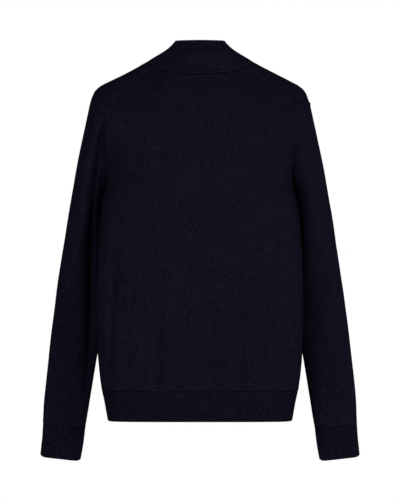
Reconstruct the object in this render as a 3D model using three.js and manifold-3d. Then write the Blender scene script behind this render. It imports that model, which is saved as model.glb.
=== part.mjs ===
// A quarter-zip sweater in fine navy wool, filled out as if worn, with nobody in it.
// Millimetres, +Z up. The origin is midway between the two points where the collar meets the
// shoulders. The chest faces -Y, the back +Y, and +X is the wearer's left.
//
// Every knitted piece is a wall: its outer points come from sections worked out below, and the wall
// grows inwards from them. Neighbouring pieces share their edge points, so they meet at each seam,
// and each is then drawn back from it by half the seam gap.
import * as THREE from "three";
import { mergeVertices } from "three/addons/utils/BufferGeometryUtils.js";
import Module from "manifold-3d";

const wasm = await Module();
wasm.setup();

// Walls and seams
const JERSEY = 1.6; // body and sleeves
const BAND = 2.4; // ribbed hem and cuffs
const COLLAR = 3.0; // two layers of rib, folded over at the top
const SEAM_GAP = 0.3;
const WELD = 1e-3; // points nearer than this are one point
const OPPOSED = 0.5; // faces that share less of a direction than this stand against each other
const LEAST_LEAN = 0.6; // keeps the corners of sharp creases from running out

// Zip
const SLIT_HALF = 4.5; // half the opening between the knitted edges
const CHAIN_HALF = 2.6;
const CHAIN_THICK = 2.2;
const CHAIN_FRONT = -0.9; // the chain stands this far in front of its tapes
const STOP_LENGTH = 5;
const STOP_PROUD = 0.3; // how far the bottom stop stands out from the chain, before and behind
const TAPE_EDGE = 16; // how far each tape reaches from the centre front
const TAPE_THICK = 1.0;
const TAB_LENGTH = 25;

const table = (columns, rows) =>
  rows.map((row) => Object.fromEntries(columns.map((name, i) => [name, row[i]])));

// The torso from hem to underarm: half its width, where it is widest, and how far the back and
// the front stand out. The hem band is below the row at HEM_SEAM.
const TORSO = table(
  ["z", "halfWidth", "widestY", "backY", "frontY"],
  [
    [-675.7, 173.5, 8, 97, -98],
    [-655.2, 176.9, 10, 99.5, -100.5],
    [-636.4, 180.1, 12, 102, -103],
    [-618.5, 183.9, 14, 104.5, -105.5],
    [-598.8, 187, 16, 107, -108],
    [-580, 189, 18, 108.5, -109.5],
    [-542.4, 191.6, 22, 109.5, -110.5],
    [-487, 193.4, 25, 110, -111.5],
    [-435, 193.6, 25, 110.5, -113],
    [-388, 192.3, 22, 111, -114.5],
    [-341, 190, 17, 111.5, -115.5],
    [-298, 186.8, 11, 112, -116],
    [-270, 183.8, 5.5, 112, -116],
    [-250, 181, 0, 112, -116],
  ],
);
const HEM_SEAM = 3; // row numbers in TORSO
const UNDERARM_ROW = TORSO.length - 1;
const HEM_CORNER = 4.5; // how far the hem turns up at the side seams
const HEM_CORNER_POWER = 10; // the higher, the nearer to the seam it starts

// The sleeve and its saddle from the collar (row 0) to the end of the cuff, on the wearer's left.
// ridge is the outer line, seam is where the section ends: the saddle and armhole seam down to the
// underarm, then the line under the arm. stop is the angle at which the section meets the seam,
// from 90 at the ridge to -90 where it has closed into a tube.
const SLEEVE = table(
  ["ridgeX", "ridgeZ", "seamX", "seamZ", "centreY", "halfDepth", "stop"],
  [
    [98.7, 0, 88, -11, 0, 34, 50],
    [121.4, -12.2, 110, -25, 0, 42, 48],
    [146, -24.9, 132, -40, 0, 53, 44],
    [170, -37.3, 150.5, -57, 1, 64, 38],
    [187, -46.6, 162, -74, 1, 72, 30],
    [197.6, -57, 169.5, -92, 2, 77, 20],
    [204.2, -72, 173, -112, 2, 80, 8],
    [209.6, -93, 174.5, -134, 2, 81, -6],
    [215.5, -120, 174.5, -158, 2, 80, -20],
    [223.6, -159, 174.7, -186, 2, 78, -36],
    [231, -195, 175.6, -212, 1.5, 76, -52],
    [236.6, -224, 178, -234, 1, 73.5, -70],
    [240.3, -245, 181, -250, 0, 71, -90],
    [248, -291, 184.5, -298, -12, 66, -90],
    [254.8, -334, 186, -341, -22, 60.5, -90],
    [262.3, -380, 187, -388, -31, 54.5, -90],
    [269.5, -427, 187, -435, -38.5, 48.5, -90],
    [276.5, -478, 187, -487, -43.5, 42.5, -90],
    [281, -516, 189.5, -525, -45.5, 38, -90],
    [285.6, -556, 196.2, -566, -46, 33.5, -90],
    [290.8, -603, 203.8, -612, -45, 29, -90],
    [294.5, -645, 210.6, -654, -43, 24.5, -90],
    [296.3, -683.4, 216.6, -691, -41, 21, -90],
    [297.4, -705, 219, -713, -40, 19.5, -90],
    [299.8, -729, 222.5, -737, -40, 18, -90],
    [301.2, -744.5, 225.4, -753, -40, 16.5, -90],
  ],
);
const UNDERARM = 12; // row numbers in SLEEVE
const CUFF_SEAM = 22;
const CUFF_END = SLEEVE.length - 1;
const CUFF_CORNER = 4; // how far the cuff turns up at its two folds
const CUFF_CORNER_POWER = 12;
const ELBOW = 16;
const FINE_STEP = 0.5; // rows are this far apart between the underarm and the elbow
const SLEEVE_CLEAR = 0.9; // between a sleeve and the side of the torso

// The middle of the back and of the chest at each sleeve row, collar to underarm, and the sweep:
// the angle that half a section covers, 90 where it runs round to the side seam.
const BACK = table(
  ["y", "z", "sweep"],
  [
    [54, -24.4, 62],
    [64, -40, 48],
    [75, -58, 48],
    [84, -76, 49],
    [91, -94, 50],
    [97, -111, 51],
    [102, -129, 52],
    [106, -147, 54],
    [109, -166, 57],
    [111, -186, 61],
    [112, -207, 68],
    [112, -229, 80],
    [112, -250, 90],
  ],
);
const FRONT = table(
  ["y", "z", "sweep"],
  [
    [-84, -86, 80],
    [-91, -100, 70],
    [-97, -113, 62],
    [-102, -127, 57],
    [-106, -141, 54],
    [-109.5, -154, 53],
    [-112, -168, 53],
    [-114, -182, 54],
    [-115, -196, 57],
    [-116, -210, 61],
    [-116, -224, 68],
    [-116, -237, 79],
    [-116, -250, 90],
  ],
);
const TORSO_SQUARE = 0.8; // 1 is an ellipse, less is squarer

// Where the columns of points run, as shares of the half sweep. Those of the back gather at its folds.
const BACK_COLUMNS = [
  1, 0.91, 0.82, 0.71, 0.61, 0.525, 0.455, 0.37, 0.3, 0.246, 0.207, 0.17, 0.1, 0.02, -0.02, -0.05, -0.08,
  -0.12, -0.165, -0.2, -0.238, -0.3, -0.38, -0.47, -0.57, -0.67, -0.8, -0.9, -1,
];
const FRONT_HALF_COLUMNS = [0.1, 0.2, 0.3, 0.4, 0.5, 0.6, 0.7, 0.8, 0.9, 1];
const PAST_TAPE = { gap: 0.04, spread: 0.2 }; // keeps those past the tape's edge apart
const SLEEVE_COLUMNS = {
  1: [
    0, 0.07, 0.14, 0.22, 0.3, 0.4, 0.5, 0.6, 0.68, 0.74, 0.775, 0.8, 0.82, 0.84, 0.86, 0.88, 0.905, 0.935,
    0.965, 1,
  ],
  "-1": [0, 0.08, 0.16, 0.24, 0.33, 0.42, 0.5, 0.57, 0.63, 0.68, 0.73, 0.78, 0.84, 0.9, 0.95, 1],
};

// Soft vertical folds that the hem band gathers, each from its top to its foot, with the shares of
// their length over which they fade, and of the half sweep at the side seams.
const BODY_FOLD_FADE = { top: 0.35, foot: 0.12, past: 0.06, side: 0.12 };
const BODY_FOLDS = table(
  ["side", "topX", "topZ", "footX", "footZ", "width", "depth"],
  [
    [1, 158, -385, 168, -560, 9, 4.5],
    [1, 137, -450, 137, -600, 10, 1.6],
    [1, 73, -440, 80, -606, 9, 3.6],
    [1, -26, -470, -23, -606, 8, 2.6],
    [1, -75, -490, -73, -606, 8, 3],
    [1, -152, -265, -154, -405, 14, 3],
    [1, -98, -300, -94, -396, 15, 2.2],
    [1, -160, -490, -157, -600, 12, 2.4],
    [-1, 128, -400, 140, -590, 18, 4],
    [-1, 62, -470, 66, -606, 16, 3],
    [-1, -70, -455, -76, -606, 16, 3.2],
    [-1, -136, -420, -146, -596, 18, 3.6],
  ],
);
// The deep fold that runs down the back of the wearer's left sleeve from the armhole, at each sleeve
// row from FOLD_TOP: where it lies, how wide and deep it is, and how far the cloth between it and the
// body swells.
const FOLD_TOP = 6;
const LEFT_FOLD = table(
  ["x", "width", "depth", "swell"],
  [
    [176, 5, 0, 0],
    [180, 5, 6, 2],
    [187, 5, 12, 6],
    [192, 5.5, 17, 10],
    [196.5, 5.5, 20, 12],
    [199, 5.5, 21, 13],
    [200.5, 5.5, 21, 14],
    [202.5, 5.5, 21, 14],
    [204, 5.5, 21, 14],
    [205.5, 5.5, 20, 14],
    [206.5, 5.5, 19, 13],
    [207.5, 5.5, 17, 12],
    [208.5, 5.5, 14, 10],
    [210.5, 5.5, 9, 6],
    [214, 5.5, 3, 2],
    [218, 5.5, 0, 0],
  ],
);
const FOLD_COLUMN = 0.84; // the column of points that follows it
const SWELL_PART = 0.4; // half the swelling's width, as a part of the cloth between fold and seam
// Softer folds along a sleeve, in rows and in shares of the way round it from the front seam, with the
// shares of their length over which they fade. They fade out this near to the seam.
const FOLD_MARGIN = 0.06;
const SLEEVE_FOLD_FADE = { top: 0.25, end: 0.3 };
const SLEEVE_FOLDS = table(
  ["side", "topRow", "endRow", "topShare", "endShare", "width", "depth"],
  [
    [1, 10, 20, 0.16, 0.15, 0.06, 5],
    [-1, 9, 14.5, 0.73, 0.7, 0.05, 3],
    [-1, 10.5, 20, 0.17, 0.14, 0.06, 5],
  ],
);

// The collar: its top edge, level behind and dropping towards the zip, and shallow buckles behind.
const COLLAR_TOP = { halfWidth: 46, middleY: -10, backY: 34, frontY: -60, z: 40, frontDrop: 54, levelFrom: 100 };
const COLLAR_SAG = 4; // how far its sides hang below a straight line, most at two thirds of its height
const SAG_SKEW = 1.6;
const COLLAR_SHARES = [0, 0.17, 0.42, 0.72, 0.87, 1];
const COLLAR_BUCKLES = table(
  ["share", "width", "depth"],
  [
    [0.17, 0.07, 1.6],
    [0.42, 0.12, -1.6],
    [0.72, 0.1, 2.6],
  ],
);
const BUCKLE_SPREAD = { reach: 58.8, fade: 42 }; // how far they reach from the centre back

const rad = THREE.MathUtils.degToRad;
const { clamp, lerp } = THREE.MathUtils;
const bell = (x) => Math.exp(-x * x);
const fade = (x) => {
  const t = clamp(x, 0, 1);
  return t * t * (3 - 2 * t);
};
// A power that keeps the sign, for sections squarer than an ellipse.
const signedPower = (x, power) => Math.sign(x) * Math.abs(x) ** power;

// A column of a table at a row number between its rows, on a smooth curve that never overshoots.
function along(rows, name, at) {
  const i = clamp(Math.floor(at), 0, rows.length - 2);
  const t = clamp(at - i, 0, 1);
  const value = (k) => rows[clamp(k, 0, rows.length - 1)][name];
  const rise = (k) => value(k + 1) - value(k);
  const slope = (k) => {
    const before = k === 0 ? rise(0) : rise(k - 1);
    const after = k === rows.length - 1 ? before : rise(k);
    return before * after <= 0 ? 0 : (2 * before * after) / (before + after);
  };
  const t2 = t * t;
  const t3 = t2 * t;
  return (
    value(i) * (2 * t3 - 3 * t2 + 1) +
    slope(i) * (t3 - 2 * t2 + t) +
    value(i + 1) * (3 * t2 - 2 * t3) +
    slope(i + 1) * (t3 - t2)
  );
}

// The TORSO row number at a height.
function torsoRowAt(z) {
  let low = 0;
  let high = UNDERARM_ROW;
  for (let n = 0; n < 30; n++) {
    const middle = (low + high) / 2;
    if (along(TORSO, "z", middle) < z) low = middle;
    else high = middle;
  }
  return (low + high) / 2;
}

// Half the torso's width at a depth y and height z.
function torsoReach(y, z) {
  const row = torsoRowAt(z);
  const widestY = along(TORSO, "widestY", row);
  const edge = along(TORSO, y > widestY ? "backY" : "frontY", row);
  const share = clamp((y - widestY) / (edge - widestY), 0, 1);
  const power = 1 / TORSO_SQUARE;
  return along(TORSO, "halfWidth", row) * (1 - share ** (2 * power)) ** (1 / (2 * power));
}

// The share of the way round a sleeve, from the front seam to the back, at which it has this x.
function shareAtX(row, x) {
  const value = (name) => along(SLEEVE, name, row);
  const stop = rad(value("stop"));
  const out = (x - value("seamX")) / (value("ridgeX") - value("seamX"));
  const angle = Math.asin(clamp(lerp(Math.sin(stop), 1, out), -1, 1));
  return 1 - (angle - stop) / (Math.PI - 2 * stop);
}

// Where the deep fold lies. Above its top and at the cuff the column that follows it swings back.
function foldShare(row) {
  const top = shareAtX(FOLD_TOP, LEFT_FOLD[0].x);
  if (row < FOLD_TOP) return lerp(FOLD_COLUMN, top, fade((row - FOLD_TOP / 2) / (FOLD_TOP / 2)));
  const end = FOLD_TOP + LEFT_FOLD.length - 1;
  if (row > end) return shareAtX(end, LEFT_FOLD.at(-1).x);
  return shareAtX(row, along(LEFT_FOLD, "x", row - FOLD_TOP));
}

// How far the sleeve's folds move a point in towards its middle.
function sleeveFold(side, row, share, x) {
  let depth = 0;
  for (const f of SLEEVE_FOLDS) {
    if (f.side !== side) continue;
    const t = (row - f.topRow) / (f.endRow - f.topRow);
    const length = fade(t / SLEEVE_FOLD_FADE.top) * fade((1 - t) / SLEEVE_FOLD_FADE.end);
    depth += f.depth * length * bell((share - lerp(f.topShare, f.endShare, clamp(t, 0, 1))) / f.width);
  }
  depth *= fade(Math.min(share, 1 - share) / FOLD_MARGIN);
  if (side > 0 && share > 0.5 && row > FOLD_TOP) {
    const value = (name) => along(LEFT_FOLD, name, row - FOLD_TOP);
    depth += value("depth") * bell((x - value("x")) / value("width"));
    const inner = 1 - foldShare(row);
    const width = inner * SWELL_PART;
    depth -= value("swell") * bell((1 - share - inner / 2) / width) * fade((1 - share) / width);
  }
  return depth;
}

// A point on a sleeve: share runs from the front seam (0) over the ridge (0.5) to the back seam (1).
function sleevePoint(side, row, share) {
  const value = (name) => along(SLEEVE, name, row);
  const stop = rad(value("stop"));
  const angle = stop + (Math.PI - 2 * stop) * (1 - share);
  const out = (Math.sin(angle) - Math.sin(stop)) / (1 - Math.sin(stop));
  const p = new THREE.Vector3(
    lerp(value("seamX"), value("ridgeX"), out),
    value("centreY") + Math.cos(angle) * value("halfDepth"),
    lerp(value("seamZ"), value("ridgeZ"), out),
  );
  p.y -= Math.sign(Math.cos(angle)) * sleeveFold(side, row, share, p.x);
  if (row > CUFF_SEAM) {
    const end = (row - CUFF_SEAM) / (CUFF_END - CUFF_SEAM);
    p.z += CUFF_CORNER * end * Math.abs(2 * out - 1) ** CUFF_CORNER_POWER;
  }
  if (row > UNDERARM && p.z > TORSO[0].z)
    p.x = Math.max(p.x, torsoReach(p.y, p.z) + SLEEVE_CLEAR * fade(row - UNDERARM));
  p.x *= side;
  return p;
}

// The columns of points round a sleeve. Past the ridge they are drawn along so that one follows the
// deep fold.
function sleeveShares(side, row) {
  if (side < 0) return SLEEVE_COLUMNS[side];
  const fold = foldShare(row);
  return SLEEVE_COLUMNS[side].map((c) => {
    if (c <= 0.5) return c;
    if (c < FOLD_COLUMN) return lerp(0.5, fold, (c - 0.5) / (FOLD_COLUMN - 0.5));
    return lerp(fold, 1, (c - FOLD_COLUMN) / (1 - FOLD_COLUMN));
  });
}

// How deep the torso's folds are at a point of the back (side 1) or the chest (side -1).
function bodyFold(side, x, z) {
  let depth = 0;
  for (const f of BODY_FOLDS) {
    if (f.side !== side) continue;
    const t = (z - f.topZ) / (f.footZ - f.topZ);
    const length = fade(t / BODY_FOLD_FADE.top) * fade((1 + BODY_FOLD_FADE.past - t) / BODY_FOLD_FADE.foot);
    depth += f.depth * length * bell((x - lerp(f.topX, f.footX, clamp(t, 0, 1))) / f.width);
  }
  return depth;
}

// One row of a body piece below the underarm. columns are shares of the half sweep, left to right.
function torsoRow(side, row, columns) {
  const value = (name) => along(TORSO, name, row);
  const widestY = value("widestY");
  const outY = value(side > 0 ? "backY" : "frontY");
  return columns(90, value("halfWidth"), TORSO_SQUARE).map((share) => {
    const angle = rad(90 * share);
    const x = value("halfWidth") * signedPower(Math.sin(angle), TORSO_SQUARE);
    const y = lerp(widestY, outY, Math.cos(angle) ** TORSO_SQUARE);
    const edge = Math.abs(share);
    const p = new THREE.Vector3(x, y, value("z"));
    p.y -= side * bodyFold(side, x, p.z) * fade((1 - edge) / BODY_FOLD_FADE.side);
    if (row < HEM_SEAM) p.z += HEM_CORNER * (1 - row / HEM_SEAM) * edge ** HEM_CORNER_POWER;
    return p;
  });
}

// One row of a body piece between the armholes, or under the collar where row is 0.
function yokeRow(side, row, columns) {
  const middle = side > 0 ? BACK : FRONT;
  const value = (name) => along(middle, name, row);
  const ends = [1, -1].map((hand) => sleevePoint(hand, row, side > 0 ? 1 : 0));
  const power = lerp(1, TORSO_SQUARE, row / UNDERARM);
  const sweep = value("sweep");
  const cosEnd = Math.cos(rad(sweep)) ** power;
  return columns(sweep, ends[0].x, power).map((share) => {
    const end = share > 0 ? ends[0] : ends[1];
    if (Math.abs(share) === 1) return end.clone();
    const angle = rad(sweep * Math.abs(share));
    const across = (Math.sin(angle) / Math.sin(rad(sweep))) ** power;
    const inward = (Math.cos(angle) ** power - cosEnd) / (1 - cosEnd);
    return new THREE.Vector3(end.x * across, lerp(end.y, value("y"), inward), lerp(end.z, value("z"), inward));
  });
}

const backColumns = () => BACK_COLUMNS;
// The chest has columns at the slit's edges and at the edges of the zip's tapes.
function frontColumns(sweep, halfWidth, power) {
  const shareAt = (x) => Math.asin((x / halfWidth) ** (1 / power) * Math.sin(rad(sweep))) / rad(sweep);
  const tape = shareAt(TAPE_EDGE);
  const spread = FRONT_HALF_COLUMNS.map((s) =>
    s === 1 ? 1 : Math.max(s, tape + PAST_TAPE.gap + s * PAST_TAPE.spread),
  );
  const left = [shareAt(SLIT_HALF), tape, ...spread];
  return [...left.toReversed(), ...left.map((s) => -s)];
}

// All rows of a body piece, from the hem seam up to the collar.
function bodyRows(side, columns) {
  const low = [];
  for (let row = HEM_SEAM; row < UNDERARM_ROW; row++) low.push(torsoRow(side, row, columns));
  const high = [];
  for (let row = UNDERARM; row >= 0; row--) high.push(yokeRow(side, row, columns));
  return [...low, ...high];
}

function hemRows(side, columns) {
  const rows = [];
  for (let row = 0; row <= HEM_SEAM; row++) rows.push(torsoRow(side, row, columns));
  return rows;
}

function sleeveRows(side, from, to) {
  const rows = [];
  for (let row = from; row <= to; row += row >= UNDERARM && row < ELBOW ? FINE_STEP : 1)
    rows.push(sleeveShares(side, row).map((share) => sleevePoint(side, row, share)));
  return rows;
}

// The edge that the collar is sewn to, from the wearer's left of the zip round the back to the right.
function neckLoop(backRow, frontRow, leftRow, rightRow) {
  const half = frontRow.length / 2;
  return [
    ...frontRow.slice(0, half).toReversed(),
    ...leftRow.slice(1, -1),
    ...backRow,
    ...rightRow.slice(1, -1).toReversed(),
    ...frontRow.slice(half).toReversed(),
  ];
}

// The collar rises from that edge to its own top edge, which is matched to it by length.
function collarRows(loop) {
  const lengths = [0];
  for (let i = 1; i < loop.length; i++) lengths.push(lengths[i - 1] + loop[i].distanceTo(loop[i - 1]));
  const total = lengths.at(-1);
  const top = COLLAR_TOP;
  const firstAngle = Math.asin(SLIT_HALF / top.halfWidth);
  return COLLAR_SHARES.map((share) =>
    loop.map((base, i) => {
      const angle = lerp(firstAngle, 2 * Math.PI - firstAngle, lengths[i] / total);
      const fromFront = Math.min(angle, 2 * Math.PI - angle);
      const facing = Math.cos(angle) > 0 ? top.frontY : top.backY;
      const drop = (1 + Math.cos(Math.min(1, fromFront / rad(top.levelFrom)) * Math.PI)) / 2;
      const end = new THREE.Vector3(
        top.halfWidth * Math.sin(angle),
        lerp(top.middleY, facing, Math.abs(Math.cos(angle))),
        top.z - top.frontDrop * drop,
      );
      const p = base.clone().lerp(end, share);
      p.z -= COLLAR_SAG * Math.sin(Math.PI * share ** SAG_SKEW) * Math.abs(Math.sin(angle));
      if (Math.cos(angle) < 0) {
        const near = fade((BUCKLE_SPREAD.reach - Math.abs(p.x)) / BUCKLE_SPREAD.fade);
        for (const b of COLLAR_BUCKLES) p.y -= b.depth * near * bell((share - b.share) / b.width);
      }
      return p;
    }),
  );
}

// A patch of cloth: rows of points, as triangles that face outwards. skip leaves cells out.
function patch(rows, skip = () => false) {
  const points = [];
  const keys = new Map();
  const index = rows.map((row) =>
    row.map((p) => {
      const key = [p.x, p.y, p.z].map((c) => Math.round(c / WELD)).join();
      if (!keys.has(key)) {
        keys.set(key, points.length);
        points.push(p.clone());
      }
      return keys.get(key);
    }),
  );
  const faces = [];
  const addFace = (...corners) => {
    if (new Set(corners).size === 3) faces.push(corners);
  };
  for (let i = 0; i < rows.length - 1; i++)
    for (let j = 0; j < rows[i].length - 1; j++) {
      if (skip(i, j)) continue;
      const [a, b, c, d] = [index[i][j], index[i][j + 1], index[i + 1][j + 1], index[i + 1][j]];
      const acShorter = points[a].distanceTo(points[c]) < points[b].distanceTo(points[d]);
      if (acShorter) {
        addFace(a, b, c);
        addFace(a, c, d);
      } else {
        addFace(a, b, d);
        addFace(b, c, d);
      }
    }
  const inside = rows.map((row) =>
    row.reduce((sum, p) => sum.add(p), new THREE.Vector3()).divideScalar(row.length),
  );
  const rowOf = new Map(index.flatMap((row, i) => row.map((v) => [v, i])));
  let outward = 0;
  for (const f of faces) {
    const normal = faceNormal(points, f);
    outward += normal.dot(points[f[0]].clone().sub(inside[rowOf.get(f[0])]));
  }
  if (outward < 0) faces.forEach((f) => f.reverse());
  return { points, faces, index };
}

// The cross product of two of a triangle's sides, as long as twice its area.
function faceNormal(points, [a, b, c]) {
  const ab = points[b].clone().sub(points[a]);
  const ac = points[c].clone().sub(points[a]);
  return ab.cross(ac);
}

// The direction in which a point of a piece faces, averaged over the pieces that meet there, so that
// the walls on both sides of a seam end in one plane. A piece that faces another way is left out, as
// a sleeve is under the arm, where it faces the body. The length makes up for sharp creases.
function sharedNormals(patches) {
  const corners = new Map();
  const keyOf = (p) => [p.x, p.y, p.z].map((c) => Math.round(c / WELD)).join();
  for (const piece of patches)
    for (const f of piece.faces) {
      const normal = faceNormal(piece.points, f);
      for (const v of f) {
        const key = keyOf(piece.points[v]);
        if (!corners.has(key)) corners.set(key, []);
        corners.get(key).push({ piece, normal });
      }
    }
  const mean = (list) => list.reduce((sum, c) => sum.add(c.normal), new THREE.Vector3()).normalize();
  return (p, piece) => {
    const all = corners.get(keyOf(p));
    const of = (one) => all.filter((c) => c.piece === one);
    const own = of(piece);
    const way = mean(own);
    const direction = mean(all.filter((c) => mean(of(c.piece)).dot(way) > OPPOSED));
    const lean = own.reduce((sum, c) => sum + c.normal.clone().normalize().dot(direction), 0) / own.length;
    return direction.divideScalar(Math.max(lean, LEAST_LEAN));
  };
}

// A closed wall from a patch: its points drawn back from the edges, the same points moved in along
// their normals, and a rim round each edge.
function wall(piece, normalAt, thickness) {
  const { points, faces } = piece;
  const normals = points.map((p) => normalAt(p, piece));
  const uses = new Map();
  for (const [a, b, c] of faces)
    for (const [from, to, across] of [[a, b, c], [b, c, a], [c, a, b]]) {
      const key = `${Math.min(from, to)},${Math.max(from, to)}`;
      uses.set(key, uses.has(key) ? null : { from, to, across });
    }
  const edges = [...uses.values()].filter(Boolean);
  const pulls = points.map(() => []);
  for (const { from, to, across } of edges) {
    const line = points[to].clone().sub(points[from]).normalize();
    const pull = points[across].clone().sub(points[from]);
    pull.addScaledVector(line, -pull.dot(line)).normalize();
    pulls[from].push(pull);
    pulls[to].push(pull);
  }
  const outer = points.map((p, i) => {
    if (pulls[i].length < 2) return p.clone();
    const [d1, d2] = pulls[i];
    const both = d1.clone().add(d2).divideScalar(Math.max(1 + d1.dot(d2), LEAST_LEAN));
    return p.clone().addScaledVector(both, SEAM_GAP / 2);
  });
  const inner = outer.map((p, i) => p.clone().addScaledVector(normals[i], -thickness));
  const count = points.length;
  const triangles = [
    ...faces,
    ...faces.map(([a, b, c]) => [c + count, b + count, a + count]),
    ...edges.flatMap(({ from, to }) => [
      [to, from, from + count],
      [to, from + count, to + count],
    ]),
  ];
  const geometry = new THREE.BufferGeometry();
  const flat = [...outer, ...inner].flatMap((p) => [p.x, p.y, p.z]);
  geometry.setAttribute("position", new THREE.BufferAttribute(new Float32Array(flat), 3));
  geometry.setIndex(triangles.flat());
  geometry.computeVertexNormals();
  return geometry;
}

// Solids that can be joined and cut.
function solidOf(geometry) {
  const bare = geometry.clone();
  bare.deleteAttribute("normal");
  bare.deleteAttribute("uv");
  const merged = mergeVertices(bare, 1e-4);
  return new wasm.Manifold(
    new wasm.Mesh({
      numProp: 3,
      vertProperties: merged.attributes.position.array,
      triVerts: new Uint32Array(merged.index.array),
    }),
  );
}

function geometryOf(solid) {
  const mesh = solid.getMesh();
  const geometry = new THREE.BufferGeometry();
  geometry.setAttribute("position", new THREE.BufferAttribute(mesh.vertProperties, 3));
  geometry.setIndex(new THREE.BufferAttribute(mesh.triVerts, 1));
  geometry.computeVertexNormals();
  return geometry;
}

const yarn = (color) => new THREE.MeshStandardMaterial({ color, roughness: 0.95, metalness: 0 });
const MATERIALS = {
  jersey: yarn(0x11101b),
  rib: yarn(0x10101a),
  tape: yarn(0x0d0d14),
  metal: new THREE.MeshStandardMaterial({ color: 0x2a2b30, roughness: 0.35, metalness: 1 }),
};

const sweater = new THREE.Group();
function add(name, geometry, material) {
  const mesh = new THREE.Mesh(geometry, MATERIALS[material]);
  mesh.name = name;
  sweater.add(mesh);
  return mesh;
}

// Knitted pieces
const backRows = bodyRows(1, backColumns);
const frontRows = bodyRows(-1, frontColumns);
const leftRows = sleeveRows(1, 0, CUFF_SEAM);
const rightRows = sleeveRows(-1, 0, CUFF_SEAM);
const loop = neckLoop(backRows.at(-1), frontRows.at(-1), leftRows[0], rightRows[0]);
const collar = collarRows(loop);

const slitRow = frontRows.length - 1 - UNDERARM; // the slit ends at the level of the underarms
const slitColumn = frontRows[0].length / 2 - 1;
const inSlit = (row, column) => column === slitColumn && row >= slitRow;

const pieces = [
  ["back", backRows, JERSEY, "jersey"],
  ["front", frontRows, JERSEY, "jersey", inSlit],
  ["sleeve_left", leftRows, JERSEY, "jersey"],
  ["sleeve_right", rightRows, JERSEY, "jersey"],
  ["collar", collar, COLLAR, "rib"],
  ["hem_back", hemRows(1, backColumns), BAND, "rib"],
  ["hem_front", hemRows(-1, frontColumns), BAND, "rib"],
  ["cuff_left", sleeveRows(1, CUFF_SEAM, CUFF_END), BAND, "rib"],
  ["cuff_right", sleeveRows(-1, CUFF_SEAM, CUFF_END), BAND, "rib"],
].map(([name, rows, thickness, material, skip]) => ({ name, thickness, material, ...patch(rows, skip) }));
const normalAt = sharedNormals(pieces);
for (const piece of pieces) add(piece.name, wall(piece, normalAt, piece.thickness), piece.material);

// Zip: the rows that its tapes and chain follow, from the collar's top down to the slit's end.
const chestRows = frontRows.slice(slitRow).toReversed();
const zipRows = [
  ...collar.toReversed().map((row) => [row[0], row[1]]),
  ...chestRows.slice(1).map((row) => [row[slitColumn], row[slitColumn - 1]]),
];
const pieceNamed = (name) => pieces.find((piece) => piece.name === name);
const pieceAt = (i) => pieceNamed(i < collar.length ? "collar" : "front");

// The centre front line with the direction that it faces, in the plane x = 0.
const zipLine = zipRows.map(([edge], i) => {
  const before = zipRows[Math.max(i - 1, 0)][0];
  const after = zipRows[Math.min(i + 1, zipRows.length - 1)][0];
  const down = after.clone().sub(before).setX(0).normalize();
  const out = new THREE.Vector3(0, down.z, -down.y);
  return { at: new THREE.Vector3(0, edge.y, edge.z), down, out, depth: pieceAt(i).thickness + SEAM_GAP };
});

function tapeGeometry(side) {
  const rows = zipRows.map(([edge, outer], i) => {
    const { out, depth } = zipLine[i];
    const inEdge = edge.clone().setX(CHAIN_HALF + SEAM_GAP);
    return [inEdge, edge, outer].map((p) => {
      const lean = p === outer ? normalAt(p, pieceAt(i)) : out;
      const moved = p.clone().addScaledVector(lean, -depth);
      moved.x = Math.max(moved.x, CHAIN_HALF + SEAM_GAP) * side;
      return moved;
    });
  });
  const strip = patch(rows);
  // A tape faces the way that the chest does.
  if (faceNormal(strip.points, strip.faces[0]).y > 0) strip.faces.forEach((f) => f.reverse());
  return wall(strip, sharedNormals([strip]), TAPE_THICK);
}

// A bar of rectangular section along the centre front, between two depths below the cloth.
function barAlong(line, half, from, to) {
  const corners = line.flatMap(({ at, out, depth }) =>
    [[-half, from], [half, from], [half, to], [-half, to]].map(([x, below]) =>
      at.clone().addScaledVector(out, -(depth + below)).setX(x),
    ),
  );
  const triangles = [];
  const quad = (a, b, c, d) => triangles.push([a, b, c], [a, c, d]);
  for (let i = 0; i < line.length - 1; i++)
    for (let k = 0; k < 4; k++) {
      const next = (k + 1) % 4;
      quad(4 * i + k, 4 * i + 4 + k, 4 * i + 4 + next, 4 * i + next);
    }
  const last = 4 * (line.length - 1);
  quad(0, 1, 2, 3);
  quad(last + 3, last + 2, last + 1, last);
  const geometry = new THREE.BufferGeometry();
  const flat = corners.flatMap((p) => [p.x, p.y, p.z]);
  geometry.setAttribute("position", new THREE.BufferAttribute(new Float32Array(flat), 3));
  geometry.setIndex(triangles.flat());
  geometry.computeVertexNormals();
  return geometry;
}

for (const [name, side] of [["zip_tape_left", 1], ["zip_tape_right", -1]]) add(name, tapeGeometry(side), "tape");

// The slider is as far below the collar's edge as `below` says. The chain stops short of its bridge at
// the top and of the bottom stop.
const SLIDER = { width: 7.6, plate: 9.5, bridge: 2.6, bridgeWidth: 2.4, thick: 1.1, below: 2.4 };
const chainLine = zipLine.map((p) => ({ ...p }));
const shorten = (point, next, by) => {
  point.at = point.at.clone().addScaledVector(next.at.clone().sub(point.at).normalize(), by);
};
shorten(chainLine[0], chainLine[1], SLIDER.below + SLIDER.bridge + SEAM_GAP);
shorten(chainLine.at(-1), chainLine.at(-2), STOP_LENGTH);
add("zip_chain", barAlong(chainLine, CHAIN_HALF, CHAIN_FRONT, CHAIN_FRONT + CHAIN_THICK), "metal");

const stopLine = [chainLine.at(-1), zipLine.at(-1)].map((p) => ({ ...p }));
shorten(stopLine[0], stopLine[1], SEAM_GAP);
shorten(stopLine[1], stopLine[0], SEAM_GAP);
const stopFront = CHAIN_FRONT - STOP_PROUD;
const stopBack = CHAIN_FRONT + CHAIN_THICK + STOP_PROUD;
add("zip_bottom_stop", barAlong(stopLine, CHAIN_HALF, stopFront, stopBack), "metal");

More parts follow.
